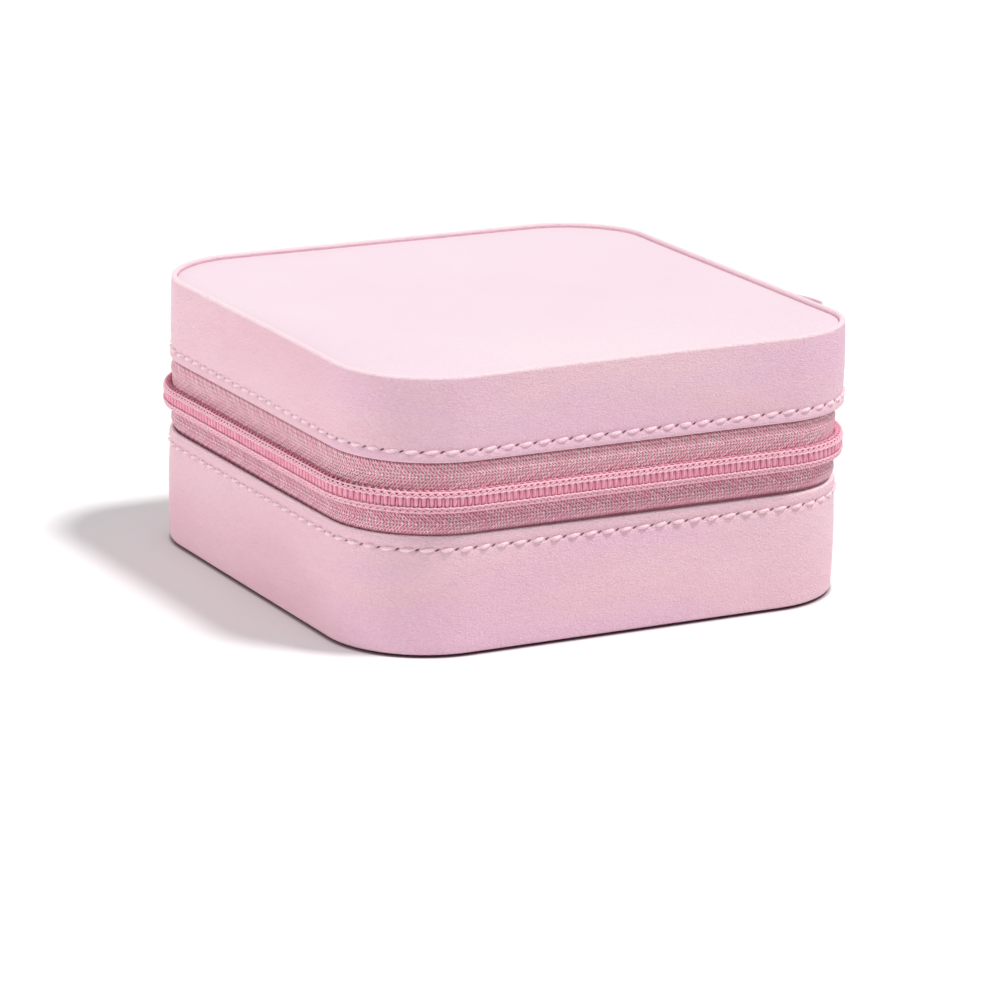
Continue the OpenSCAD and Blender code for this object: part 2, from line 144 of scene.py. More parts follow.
def sweepWall(profile, start=0.0, end=perimeter, closedProfile=True):
    # the profile is a list of (out, height); it is extruded ring by ring along the wall
    bm = bmesh.new()
    alongLayer = bm.verts.layers.float.new("along")
    heightLayer = bm.verts.layers.float.new("height")
    marks = ringMarks(start, end)
    ring = [bm.verts.new(wallMatrix(start) @ Vector((out, 0, height))) for out, height in profile]
    for vert, (out, height) in zip(ring, profile):
        vert[alongLayer] = start
        vert[heightLayer] = height
    edges = [bm.edges.new(pair) for pair in zip(ring, ring[1:])]
    if closedProfile:
        edges.append(bm.edges.new((ring[-1], ring[0])))
    for before, mark in zip(marks, marks[1:]):
        made = bmesh.ops.extrude_edge_only(bm, edges=edges)["geom"]
        edges = [item for item in made if isinstance(item, bmesh.types.BMEdge)]
        verts = [item for item in made if isinstance(item, bmesh.types.BMVert)]
        bmesh.ops.transform(bm, matrix=wallMatrix(mark) @ wallMatrix(before).inverted(), verts=verts)
        for vert in verts:
            vert[alongLayer] = mark
    if end - start > perimeter - 0.01:
        bmesh.ops.remove_doubles(bm, verts=bm.verts, dist=0.002 * mm)
    elif closedProfile:
        bmesh.ops.holes_fill(bm, edges=bm.edges, sides=0)
    bmesh.ops.recalc_face_normals(bm, faces=bm.faces)
    return bm


def arc(out, height, radius, fromAngle, toAngle, steps):
    # points on a circle, with angles in degrees from straight out, turning up
    angles = [math.radians(fromAngle + (toAngle - fromAngle) * k / steps) for k in range(steps + 1)]
    return [(out + radius * math.cos(a), height + radius * math.sin(a)) for a in angles]


def writeUv(bm):
    # u is the distance along the wall and v the height, both in millimetres
    alongLayer = bm.verts.layers.float.get("along")
    heightLayer = bm.verts.layers.float.get("height")
    uvLayer = bm.loops.layers.uv.new("wall")
    for face in bm.faces:
        values = [loop.vert[alongLayer] for loop in face.loops]
        wraps = max(values) - min(values) > perimeter / 2
        for loop, value in zip(face.loops, values):
            lap = perimeter if wraps and value < perimeter / 2 else 0
            loop[uvLayer].uv = (value + lap, loop.vert[heightLayer])


def addObject(name, data):
    made = bpy.data.objects.new(name, data)
    scene.collection.objects.link(made)
    return made


def finishPiece(bm, name, material, sharp=50):
    if bm.verts.layers.float.get("along"):
        writeUv(bm)
    mesh = bpy.data.meshes.new(name)
    bm.to_mesh(mesh)
    bm.free()
    mesh.shade_smooth()
    mesh.set_sharp_from_angle(angle=math.radians(sharp))
    mesh.materials.append(material)
    return addObject(name, mesh)


def dress(piece, body, slot, *replaced):
    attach(piece, body)
    if replaced:
        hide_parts(*replaced)
    return piece


def applyModifiers(piece):
    graph = bpy.context.evaluated_depsgraph_get()
    mesh = bpy.data.meshes.new_from_object(piece.evaluated_get(graph))
    piece.modifiers.clear()
    piece.data = mesh


def stripProfile(middle, thickness):
    # thickens a line of (out, height) points into a closed section with narrowed ends
    points = [Vector(point) for point in middle]
    last = len(points) - 1
    front, rear = [], []
    for k, point in enumerate(points):
        ahead = points[min(k + 1, last)] - points[max(k - 1, 0)]
        side = Vector((ahead.y, -ahead.x)).normalized() * thickness / 2
        narrow = 0.6 if k in (0, last) else 1.0
        front.append(tuple(point + side * narrow))
        rear.append(tuple(point - side * narrow))
    return front + rear[::-1]


def addModifier(piece, kind, **settings):
    modifier = piece.modifiers.new(kind.title(), kind)
    for key, value in settings.items():
        setattr(modifier, key, value)


def roundEdges(piece, width):
    addModifier(piece, "BEVEL", width=width * mm, segments=2, limit_method="ANGLE",
                angle_limit=math.radians(50))


def softened(node, name, material, width, body, slot):
    # a copy of a CAD node with its sharp edges rounded over
    bm = bmesh.new()
    bm.from_mesh(nodes[node].data)
    bmesh.ops.remove_doubles(bm, verts=bm.verts, dist=0.001 * mm)
    bmesh.ops.dissolve_limit(bm, angle_limit=math.radians(1), verts=bm.verts, edges=bm.edges)
    hard = [edge for edge in bm.edges
            if len(edge.link_faces) == 2 and edge.calc_face_angle() > math.radians(35)]
    bmesh.ops.bevel(bm, geom=hard, offset=width * mm, affect="EDGES", segments=2, profile=0.5, material=-1,
                    clamp_overlap=True)
    bmesh.ops.triangulate(bm, faces=[face for face in bm.faces if len(face.verts) > 4])
    bm.verts.ensure_lookup_table()
    return dress(finishPiece(bm, name, material, 40), body, slot, node)


def spun(outline, axis, steps):
    # turns a line of points, in metres, into a closed round shape
    bm = bmesh.new()
    verts = [bm.verts.new(place) for place in outline]
    edges = [bm.edges.new(pair) for pair in zip(verts, verts[1:])]
    bmesh.ops.spin(bm, geom=verts + edges, cent=(0, 0, 0), axis=axis, dvec=(0, 0, 0), angle=math.tau,
                   steps=steps, use_merge=True, use_duplicate=False)
    bmesh.ops.remove_doubles(bm, verts=bm.verts, dist=0.01 * mm)
    bmesh.ops.recalc_face_normals(bm, faces=bm.faces)
    return bm


def strands(name, paths, radius, material):
    # thread or filament along lists of points (place in metres, thickness factor)
    curve = bpy.data.curves.new(name, "CURVE")
    curve.dimensions = "3D"
    curve.bevel_depth = radius * mm
    curve.bevel_resolution = 1   # gives six sides
    curve.use_fill_caps = True
    for path in paths:
        spline = curve.splines.new("POLY")
        spline.points.add(len(path) - 1)
        for point, (place, factor) in zip(spline.points, path):
            point.co = (*place, 1)
            point.radius = factor
    holder = addObject(name + "Path", curve)
    graph = bpy.context.evaluated_depsgraph_get()
    mesh = bpy.data.meshes.new_from_object(holder.evaluated_get(graph))
    bpy.data.objects.remove(holder)
    mesh.name = name
    mesh.materials.clear()
    mesh.materials.append(material)
    mesh.shade_smooth()
    return addObject(name, mesh)


def srgb(red, green, blue):
    def channel(value):
        value /= 255
        return value / 12.92 if value <= 0.04045 else ((value + 0.055) / 1.055) ** 2.4
    return (channel(red), channel(green), channel(blue), 1)


def newGroup(name, inputs, outputs):
    tree = bpy.data.node_groups.new(name, "ShaderNodeTree")
    for label, kind, value in inputs:
        socket = tree.interface.new_socket(label, in_out="INPUT", socket_type="NodeSocket" + kind)
        if value is not None:
            socket.default_value = value
    for label, kind in outputs:
        tree.interface.new_socket(label, in_out="OUTPUT", socket_type="NodeSocket" + kind)
    return tree, tree.nodes.new("NodeGroupInput"), tree.nodes.new("NodeGroupOutput")


def feed(tree, node, **inputs):
    # each input is a value or another node's socket; i0, i1 and so on are inputs by number
    for key, value in inputs.items():
        socket = node.inputs[int(key[1:]) if key[1:].isdigit() else key.replace("_", " ")]
        if isinstance(value, bpy.types.NodeSocket):
            tree.links.new(value, socket)
        else:
            socket.default_value = value


def addNode(tree, kind, settings=None, **inputs):
    node = tree.nodes.new("ShaderNode" + kind)
    for key, value in (settings or {}).items():
        setattr(node, key, value)
    feed(tree, node, **inputs)
    return node


def calc(tree, operation, first, second=0.0, third=0.0, clamp=False):
    settings = {"operation": operation, "use_clamp": clamp}
    return addNode(tree, "Math", settings, i0=first, i1=second, i2=third).outputs[0]


def rangeOf(tree, value, low, high, toLow=0.0, toHigh=1.0, smooth=True):
    kind = "SMOOTHSTEP" if smooth else "LINEAR"
    node = addNode(tree, "MapRange", {"interpolation_type": kind, "clamp": True},
                   Value=value, From_Min=low, From_Max=high, To_Min=toLow, To_Max=toHigh)
    return node.outputs[0]


def mixColor(tree, factor, first, second):
    return addNode(tree, "Mix", {"data_type": "RGBA"}, i0=factor, i6=first, i7=second).outputs[2]


def noiseOf(tree, vector, scale, detail, roughness=0.5, distortion=0.0):
    return addNode(tree, "TexNoise", Vector=vector, Scale=scale, Detail=detail, Roughness=roughness,
                   Distortion=distortion).outputs["Fac"]


def addBump(tree, height, depth, normal=None):
    bump = addNode(tree, "Bump", Height=height, Distance=depth * mm)
    if normal:
        tree.links.new(normal, bump.inputs["Normal"])
    return bump.outputs[0]


def objectPlace(tree):
    return addNode(tree, "TexCoord").outputs["Object"]


def wallUv(tree):
    return addNode(tree, "UVMap", {"uv_map": "wall"}).outputs[0]


def awayFrom(tree, height, uv):
    # distance up or down the wall from a height
    upright = addNode(tree, "SeparateXYZ", Vector=uv).outputs["Y"]
    return calc(tree, "ABSOLUTE", calc(tree, "SUBTRACT", upright, height))


def makeGrainGroup():
    # fine grain of coated leather, drawn out along the wall, with a few longer creases
    tree, start, end = newGroup(
        "leatherGrain",
        [("Vector", "Vector", None), ("Pebbles per metre", "Float", 2600.0), ("Crease", "Float", 0.3)],
        [("Height", "Float"), ("Tone", "Float")])
    vector = start.outputs["Vector"]
    density = start.outputs["Pebbles per metre"]
    drawn = addNode(tree, "VectorMath", {"operation": "MULTIPLY"}, i0=vector, i1=(1.0, 1.0, 1.9)).outputs[0]
    wobble = addNode(tree, "TexNoise", Vector=drawn, Scale=900.0, Detail=2.0)
    moved = addNode(tree, "VectorMath", {"operation": "MULTIPLY_ADD"}, i0=wobble.outputs["Color"],
                    i1=(0.0006, 0.0006, 0.0006), i2=drawn)
    cells = addNode(tree, "TexVoronoi", {"feature": "SMOOTH_F1"}, Vector=moved.outputs[0], Scale=density,
                    Smoothness=0.6)
    fine = noiseOf(tree, drawn, 2400.0, 4.0, 0.65)
    crease = noiseOf(tree, drawn, 420.0, 4.0, 0.6, 0.6)
    pebble = calc(tree, "SUBTRACT", 1.0, cells.outputs["Distance"])
    withFine = calc(tree, "MULTIPLY_ADD", fine, 0.9, pebble)
    ridge = calc(tree, "ABSOLUTE", calc(tree, "SUBTRACT", crease, 0.5))
    creased = rangeOf(tree, ridge, 0.0, 0.05, -1.0, 0.0)
    height = calc(tree, "MULTIPLY_ADD", creased, start.outputs["Crease"], withFine)
    feed(tree, end, Height=height, Tone=rangeOf(tree, withFine, 0.8, 1.5, 0.0, 1.0, False))
    return tree


def makeToneGroup():
    # slow change of colour over a large surface, drawn out sideways
    tree, start, end = newGroup(
        "slowTone",
        [("Vector", "Vector", None), ("Pale", "Color", (1, 1, 1, 1)), ("Deep", "Color", (0.8, 0.8, 0.8, 1)),
         ("Patches per metre", "Float", 30.0), ("Upright stretch", "Float", 3.0)],
        [("Color", "Color"), ("Factor", "Float")])
    split = addNode(tree, "SeparateXYZ", Vector=start.outputs["Vector"])
    tall = calc(tree, "MULTIPLY", split.outputs["Z"], start.outputs["Upright stretch"])
    joined = addNode(tree, "CombineXYZ", X=split.outputs["X"], Y=split.outputs["Y"], Z=tall)
    patches = noiseOf(tree, joined.outputs[0], start.outputs["Patches per metre"], 3.0, 0.55)
    factor = rangeOf(tree, patches, 0.32, 0.68)
    feed(tree, end, Color=mixColor(tree, factor, start.outputs["Pale"], start.outputs["Deep"]), Factor=factor)
    return tree


def makeHoleGroup():
    # needle holes between the stitches, read from the wall's own UV map in millimetres
    tree, start, end = newGroup(
        "stitchHoles",
        [("Vector", "Vector", None), ("Pitch", "Float", 3.5), ("Height of line", "Float", 37.0),
         ("Half length", "Float", 0.36), ("Half height", "Float", 0.16)],
        [("Mask", "Float"), ("Dent", "Float")])
    split = addNode(tree, "SeparateXYZ", Vector=start.outputs["Vector"])
    turns = calc(tree, "DIVIDE", split.outputs["X"], start.outputs["Pitch"])
    nearest = calc(tree, "ROUND", turns)
    sideways = calc(tree, "MULTIPLY", calc(tree, "SUBTRACT", turns, nearest), start.outputs["Pitch"])
    upright = calc(tree, "SUBTRACT", split.outputs["Y"], start.outputs["Height of line"])
    slant = calc(tree, "MULTIPLY_ADD", sideways, -0.45, upright)   # the needle's blade cuts a slanted slit
    across = calc(tree, "DIVIDE", sideways, start.outputs["Half length"])
    tall = calc(tree, "DIVIDE", slant, start.outputs["Half height"])
    reach = calc(tree, "SQRT", calc(tree, "ADD", calc(tree, "POWER", calc(tree, "ABSOLUTE", across), 2.0),
                                    calc(tree, "POWER", calc(tree, "ABSOLUTE", tall), 2.0)))
    feed(tree, end, Mask=rangeOf(tree, reach, 0.7, 1.5, 1.0, 0.0),
         Dent=rangeOf(tree, reach, 0.6, 3.2, -1.0, 0.0))
    return tree


def makeWearGroup():
    # lightens raised edges and darkens seams, from the curvature of the surface
    tree, start, end = newGroup(
        "edgeTone",
        [("Color", "Color", (1, 1, 1, 1)), ("Edge", "Color", (1, 1, 1, 1)),
         ("Seam", "Color", (0.5, 0.3, 0.3, 1)), ("Edge amount", "Float", 0.5), ("Seam amount", "Float", 0.5)],
        [("Color", "Color")])
    bent = addNode(tree, "NewGeometry").outputs["Pointiness"]
    raised = calc(tree, "MULTIPLY", rangeOf(tree, bent, 0.52, 0.6), start.outputs["Edge amount"])
    sunk = calc(tree, "MULTIPLY", rangeOf(tree, bent, 0.48, 0.4), start.outputs["Seam amount"])
    pale = mixColor(tree, raised, start.outputs["Color"], start.outputs["Edge"])
    feed(tree, end, Color=mixColor(tree, sunk, pale, start.outputs["Seam"]))
    return tree


def makeWeaveGroup():
    # herringbone of the zip tape: fine twill in broader ribs that turn back at the middle of the tape
    tree, start, end = newGroup(
        "herringbone",
        [("Vector", "Vector", None), ("Line pitch", "Float", 0.4), ("Rib pitch", "Float", 2.0),
         ("Turn", "Float", 4.3), ("Centre", "Float", 28.5)],
        [("Height", "Float"), ("Tone", "Float"), ("Rib", "Float"), ("Glint", "Float")])
    vector = start.outputs["Vector"]
    split = addNode(tree, "SeparateXYZ", Vector=vector)
    fromCentre = calc(tree, "ABSOLUTE", calc(tree, "SUBTRACT", split.outputs["Y"], start.outputs["Centre"]))
    fromTurn = calc(tree, "ABSOLUTE", calc(tree, "SUBTRACT", fromCentre, start.outputs["Turn"]))
    wobble = calc(tree, "MULTIPLY", noiseOf(tree, vector, 0.9, 2.0), 0.3)

    def wave(value, pitch):
        return calc(tree, "SINE", calc(tree, "DIVIDE", value, calc(tree, "DIVIDE", pitch, math.tau)))

    def slantedWave(lean, pitch):
        slanted = calc(tree, "ADD", calc(tree, "MULTIPLY_ADD", fromTurn, lean, split.outputs["X"]), wobble)
        return wave(slanted, pitch)

    lines = slantedWave(0.8, start.outputs["Line pitch"])
    ribs = rangeOf(tree, slantedWave(1.7, start.outputs["Rib pitch"]), -0.5, 0.7, -1.0, 1.0)
    picks = wave(fromCentre, 0.62)
    steps = calc(tree, "MULTIPLY", calc(tree, "MULTIPLY", lines, picks), 0.7)
    fine = calc(tree, "MULTIPLY_ADD", lines, 0.6, steps)
    height = calc(tree, "MULTIPLY_ADD", ribs, 0.8, fine)
    grain = noiseOf(tree, vector, 5.0, 2.0)
    tone = calc(tree, "MULTIPLY_ADD", calc(tree, "SUBTRACT", grain, 0.5), 1.1, fine)

    # painted highlights: a bright glint where each rib turns back, a few stray ones, and patches at the
    # thread crossings
    paintedGlint = calc(tree, "ADD", wave(split.outputs["X"], 1.2), calc(tree, "MULTIPLY", fromTurn, -3.6))
    stray = addNode(tree, "TexVoronoi", {"feature": "F1"}, Vector=vector, Scale=1.5, Randomness=1.0)
    strayMask = rangeOf(tree, stray.outputs["Distance"], 0.10, 0.2, 0.8, 0.0)
    crossing = rangeOf(tree, calc(tree, "MULTIPLY", lines, picks), 0.3, 0.75)
    patchy = calc(tree, "MULTIPLY", crossing, rangeOf(tree, noiseOf(tree, vector, 0.25, 2.0), 0.4, 0.62))
    glint = calc(tree, "MAXIMUM", rangeOf(tree, paintedGlint, 0.3, 0.8), calc(tree, "MAXIMUM", strayMask, patchy))
    feed(tree, end, Height=height, Tone=rangeOf(tree, tone, -0.75, 0.75), Rib=rangeOf(tree, ribs, -0.9, 0.9),
         Glint=glint)
    return tree


def makePileGroup():
    # short pile of velvet, brushed a little one way
    tree, start, end = newGroup(
        "velvetPile",
        [("Vector", "Vector", None), ("Tufts per metre", "Float", 3200.0)],
        [("Height", "Float"), ("Tone", "Float")])
    fine = noiseOf(tree, start.outputs["Vector"], start.outputs["Tufts per metre"], 3.0, 0.7)
    brushed = noiseOf(tree, start.outputs["Vector"], 60.0, 3.0, 0.6, 0.8)
    tone = calc(tree, "MULTIPLY_ADD", rangeOf(tree, brushed, 0.35, 0.65), 0.55,
                calc(tree, "MULTIPLY", fine, 0.45))
    feed(tree, end, Height=fine, Tone=tone)
    return tree


grainGroup = makeGrainGroup()
toneGroup = makeToneGroup()
holeGroup = makeHoleGroup()
wearGroup = makeWearGroup()
weaveGroup = makeWeaveGroup()
pileGroup = makePileGroup()


def useGroup(tree, group, **inputs):
    return addNode(tree, "Group", {"node_tree": group}, **inputs)


def newMaterial(name, **inputs):
    material = bpy.data.materials.new(name)
    material.use_nodes = True
    tree = material.node_tree
    shader = tree.nodes["Principled BSDF"]
    feed(tree, shader, **inputs)
    return material, tree, shader


leatherLook = {
    "pale": srgb(243, 200, 211),
    "deep": srgb(238, 190, 204),
    # lilac: painted streaks for how the +X side takes the light
    "lilac": srgb(236, 188, 214),
    # painted highlight on edges, folded rims and the grain's pebbles
    "paintedHighlight": srgb(255, 234, 239),
    "foldHighlight": srgb(255, 228, 234),
    # strength of the painted highlight along the folded rims
    "rim": 0.85,
    "streaks": 0.62,
    # painted shade in seams and hollows, and how much of it
    "seam": srgb(206, 120, 146),
    "seamAmount": 0.55,
    # colour of the painted shade in the needle holes
    "hole": srgb(108, 32, 60),
    "grainDepth": 0.15,
    "roughness": 0.5,
    "pebblesPerMetre": 2100.0,
    "holeDepth": 0.12,
}


def makeLeather(name, pale=leatherLook["pale"], deep=leatherLook["deep"],
                grainDepth=leatherLook["grainDepth"], roughness=leatherLook["roughness"],
                lines=(), rims=(), edge=0.35):
    material, tree, shader = newMaterial(name, Coat_Roughness=0.35, Specular_IOR_Level=0.5, Coat_Weight=0.06)
    place = objectPlace(tree)
    grain = useGroup(tree, grainGroup, Vector=place, Pebbles_per_metre=leatherLook["pebblesPerMetre"],
                     Crease=0.15)
    tone = useGroup(tree, toneGroup, Vector=place, Pale=pale, Deep=deep, Patches_per_metre=17.0,
                    Upright_stretch=4.0)
    streaks = useGroup(tree, toneGroup, Vector=place, Pale=tone.outputs["Color"], Deep=leatherLook["lilac"],
                       Patches_per_metre=30.0, Upright_stretch=5.0)
    # painted light: lilac streaks for how the +X side takes the light, and pale highlights on the grain's
    # pebbles, both mostly on the +X side
    side = rangeOf(tree, addNode(tree, "SeparateXYZ", Vector=place).outputs["X"], 0.018, 0.046)
    streaked = calc(tree, "MULTIPLY_ADD", side, leatherLook["streaks"] if lines else 0.0, 0.06)
    shaded = mixColor(tree, streaked, tone.outputs["Color"], streaks.outputs["Color"])
    grainHighlight = calc(tree, "MULTIPLY", grain.outputs["Tone"], calc(tree, "MULTIPLY_ADD", side, 0.32, 0.12))
    grainHighlighted = mixColor(tree, grainHighlight, shaded, leatherLook["paintedHighlight"])
    # painted highlight on raised edges and painted shade in seams, found from the surface's curvature
    edgeToned = useGroup(tree, wearGroup, Color=grainHighlighted, Edge=leatherLook["paintedHighlight"], Seam=leatherLook["seam"],
                    Edge_amount=edge, Seam_amount=leatherLook["seamAmount"])
    color = edgeToned.outputs["Color"]
    normal = None
    uv = wallUv(tree) if lines or rims else None
    for height, reach in rims:
        # painted highlight along the folded edge
        paintedHighlight = rangeOf(tree, awayFrom(tree, height, uv), reach * 0.35, reach, leatherLook["rim"], 0.0)
        color = mixColor(tree, paintedHighlight, color, leatherLook["foldHighlight"])
    for line in lines:
        holes = useGroup(tree, holeGroup, Vector=uv, Pitch=stitching["pitch"], Height_of_line=line)
        # painted shade in the needle holes, darkest on the +X side where the light rakes
        holeShadeMask = calc(tree, "MULTIPLY", holes.outputs["Mask"], calc(tree, "MULTIPLY_ADD", side, 0.6, 0.4))
        color = mixColor(tree, holeShadeMask, color, leatherLook["hole"])
        normal = addBump(tree, holes.outputs["Dent"], leatherLook["holeDepth"], normal)
    rough = rangeOf(tree, tone.outputs["Factor"], 0.0, 1.0, roughness - 0.04, roughness + 0.06, False)
    feed(tree, shader, Base_Color=color, Roughness=rough,
         Normal=addBump(tree, grain.outputs["Height"], grainDepth, normal))
    return material


tapeLook = {
    "base": (srgb(222, 90, 128), srgb(255, 224, 234), srgb(236, 126, 158)),
    "lid": (srgb(240, 100, 138), srgb(255, 244, 248), srgb(250, 156, 182)),   # painted lighter than the base tape, for the light the upper tape catches
    "ribDepth": 0.38,
    "paintedGlint": srgb(255, 252, 253),
    "seam": srgb(128, 44, 76),
    "seamShadeFrom": {"base": 5.75, "lid": 6.1},   # distance from the middle of the zip
    "seamShadeBlend": 0.45,
    "seamShadeDepth": {"base": 0.85, "lid": 0.5},
    "linePitch": 0.6,
    "ribPitch": 2.0,
    "turn": 4.2,
}


def makeTape(part):
    shade, pale, ribShade = tapeLook[part]
    material, tree, shader = newMaterial(part + "ZipTape", Sheen_Weight=0.05, Sheen_Roughness=0.4)
    uv = wallUv(tree)
    weave = useGroup(tree, weaveGroup, Vector=uv, Line_pitch=tapeLook["linePitch"],
                     Rib_pitch=tapeLook["ribPitch"], Turn=tapeLook["turn"], Centre=zipHeight)
    fine = mixColor(tree, weave.outputs["Tone"], shade, pale)
    low = calc(tree, "MULTIPLY_ADD", weave.outputs["Rib"], -tapeLook["ribDepth"], tapeLook["ribDepth"])
    ribbed = mixColor(tree, low, fine, ribShade)
    # painted highlights from the weave's glints
    bright = mixColor(tree, calc(tree, "MULTIPLY", weave.outputs["Glint"], 0.85), ribbed, tapeLook["paintedGlint"])
    # painted shade: a dark line where the tape runs in under the leather's folded edge
    seamShadeFrom = tapeLook["seamShadeFrom"][part]
    seam = rangeOf(tree, awayFrom(tree, zipHeight, uv), seamShadeFrom, seamShadeFrom + tapeLook["seamShadeBlend"], 0.0,
                   tapeLook["seamShadeDepth"][part])
    feed(tree, shader, Base_Color=mixColor(tree, seam, bright, tapeLook["seam"]),
         Roughness=rangeOf(tree, weave.outputs["Tone"], 0.0, 1.0, 0.6, 0.4, False),
         Normal=addBump(tree, weave.outputs["Height"], 0.13))
    return material


def makeNylon(name, pale, deep, roughness):
    material, tree, shader = newMaterial(name, Roughness=roughness, Subsurface_Weight=0.12,
                                         Subsurface_Scale=0.0006, Specular_IOR_Level=0.55)
    place = objectPlace(tree)
    speck = noiseOf(tree, place, 900.0, 2.0)
    feed(tree, shader, Base_Color=mixColor(tree, rangeOf(tree, speck, 0.35, 0.65), pale, deep),
         Roughness=rangeOf(tree, speck, 0.3, 0.7, roughness - 0.05, roughness + 0.08, False),
         Normal=addBump(tree, noiseOf(tree, place, 5000.0, 2.0), 0.01))
    return material


def makeThread(name, pale, deep):
    material, tree, shader = newMaterial(name, Roughness=0.55, Sheen_Weight=0.3)
    place = objectPlace(tree)
    split = addNode(tree, "SeparateXYZ", Vector=place)
    plied = calc(tree, "ADD", calc(tree, "ADD", split.outputs["X"], split.outputs["Y"]),
                 calc(tree, "MULTIPLY", split.outputs["Z"], 1.4))
    twist = calc(tree, "SINE", calc(tree, "MULTIPLY", plied, 14000.0))
    speck = noiseOf(tree, place, 2600.0, 2.0)
    tone = calc(tree, "MULTIPLY_ADD", twist, 0.18, speck)
    feed(tree, shader, Base_Color=mixColor(tree, rangeOf(tree, tone, 0.3, 0.75), deep, pale),
         Roughness=rangeOf(tree, tone, 0.3, 0.7, 0.65, 0.45, False), Normal=addBump(tree, tone, 0.03))
    return material


def makeVelvet(name, pale, deep):
    material, tree, shader = newMaterial(name, Roughness=0.85, Sheen_Weight=0.7, Sheen_Roughness=0.35,
                                         Specular_IOR_Level=0.2)
    place = objectPlace(tree)
    pile = useGroup(tree, pileGroup, Vector=place, Tufts_per_metre=3200.0)
    feed(tree, shader, Base_Color=mixColor(tree, pile.outputs["Tone"], deep, pale),
         Roughness=rangeOf(tree, pile.outputs["Tone"], 0.2, 0.8, 0.92, 0.78, False),
         Normal=addBump(tree, pile.outputs["Height"], 0.12))
    return material


def makeMetal():
    material, tree, shader = newMaterial("roseMetal", Metallic=1.0, Roughness=0.24, Coat_Weight=0.15)
    place = objectPlace(tree)
    cloud = noiseOf(tree, place, 260.0, 3.0)
    edgeToned = useGroup(tree, wearGroup, Color=mixColor(tree, cloud, srgb(226, 178, 164), srgb(214, 160, 146)),
                    Edge=srgb(248, 214, 202), Seam=srgb(150, 100, 92), Edge_amount=0.6, Seam_amount=0.4)
    feed(tree, shader, Base_Color=edgeToned.outputs["Color"],
         Roughness=rangeOf(tree, cloud, 0.3, 0.7, 0.18, 0.32, False),
         Normal=addBump(tree, noiseOf(tree, place, 1800.0, 2.0), 0.006))
    return material


def makeBoard(name, pale, deep, scale, roughness):
    material, tree, shader = newMaterial(name, Roughness=roughness)
    place = objectPlace(tree)
    fibre = noiseOf(tree, place, scale, 4.0, 0.7, 0.4)
    feed(tree, shader, Base_Color=mixColor(tree, rangeOf(tree, fibre, 0.3, 0.7), pale, deep),
         Roughness=rangeOf(tree, fibre, 0.3, 0.7, roughness - 0.05, roughness + 0.05, False),
         Normal=addBump(tree, fibre, 0.08))
    return material


def makeCloth(name, pale, deep, threadPitch):
    # plain weave of the pocket and the backing
    material, tree, shader = newMaterial(name, Roughness=0.7, Sheen_Weight=0.4, Sheen_Roughness=0.4)
    place = objectPlace(tree)
    split = addNode(tree, "SeparateXYZ", Vector=place)
    waves = []
    for axis in ("X", "Y"):
        turns = calc(tree, "MULTIPLY", split.outputs[axis], math.tau / (threadPitch * mm))
        waves.append(calc(tree, "SINE", turns))
    weave = calc(tree, "MULTIPLY", waves[0], waves[1])
    cloud = noiseOf(tree, place, 90.0, 3.0)
    tone = calc(tree, "MULTIPLY_ADD", weave, 0.2, cloud)
    feed(tree, shader, Base_Color=mixColor(tree, rangeOf(tree, tone, 0.3, 0.8), deep, pale),
         Roughness=rangeOf(tree, tone, 0.3, 0.8, 0.75, 0.6, False), Normal=addBump(tree, weave, 0.05))
    return material


stitching = {
    "pitch": perimeter / round(perimeter / 3.5),
    "lidLine": shell["lidEdge"] + 2.05,
    "baseLine": shell["baseEdge"] - 2.4,
}
# painted highlights along the folded rims: height and reach
lidRimHighlights = [(shell["height"] - 0.1, 0.6), (shell["lidEdge"] + 0.1, 0.35)]
baseRimHighlights = [(shell["baseEdge"] - 0.1, 0.35)]
lidLeatherMaterial = makeLeather("lidLeather", lines=[stitching["lidLine"]], rims=lidRimHighlights)
baseLeatherMaterial = makeLeather("baseLeather", lines=[stitching["baseLine"]], rims=baseRimHighlights)
spineLeatherMaterial = makeLeather("spineLeather", lines=[stitching["lidLine"], stitching["baseLine"]])
# the sides' leather made paler, partly as painted reflection of the light on the top
topLeatherMaterial = makeLeather("topLeather", srgb(237, 214, 223), srgb(235, 210, 221), 0.012, 0.42,
                                 edge=0.2)
plainLeatherMaterial = makeLeather("plainLeather", srgb(243, 208, 218), srgb(236, 199, 212), 0.04, 0.5)
# the case's pink leather painted dark plum, as painted shade under the case
undersideMaterial = makeLeather("underside", srgb(120, 62, 84), srgb(98, 48, 70), 0.04, 0.7, edge=0.0)
tapeMaterials = {part: makeTape(part) for part in ("base", "lid")}
coilMaterial = makeNylon("coilNylon", srgb(248, 176, 196), srgb(238, 158, 182), 0.32)
zipThreadMaterial = makeThread("zipThread", srgb(255, 216, 226), srgb(244, 176, 196))
cordMaterial = makeThread("coilCord", srgb(232, 150, 172), srgb(206, 116, 142))
stitchThreadMaterial = makeThread("stitchThread", srgb(255, 234, 240), srgb(244, 204, 216))
velvetMaterial = makeVelvet("velvet", srgb(247, 226, 229), srgb(233, 203, 209))
rollMaterial = makeVelvet("rollVelvet", srgb(244, 214, 220), srgb(230, 190, 200))
metalMaterial = makeMetal()
boardMaterial = makeBoard("greyBoard", srgb(190, 182, 170), srgb(168, 160, 150), 700.0, 0.85)
foamMaterial = makeBoard("whiteFoam", srgb(243, 240, 233), srgb(228, 224, 214), 1500.0, 0.9)
clothMaterial = makeCloth("pocketCloth", srgb(246, 217, 224), srgb(232, 194, 205), 0.55)
backingMaterial = makeCloth("spineBacking", srgb(226, 172, 188), srgb(204, 146, 166), 0.45)
print("materials made")

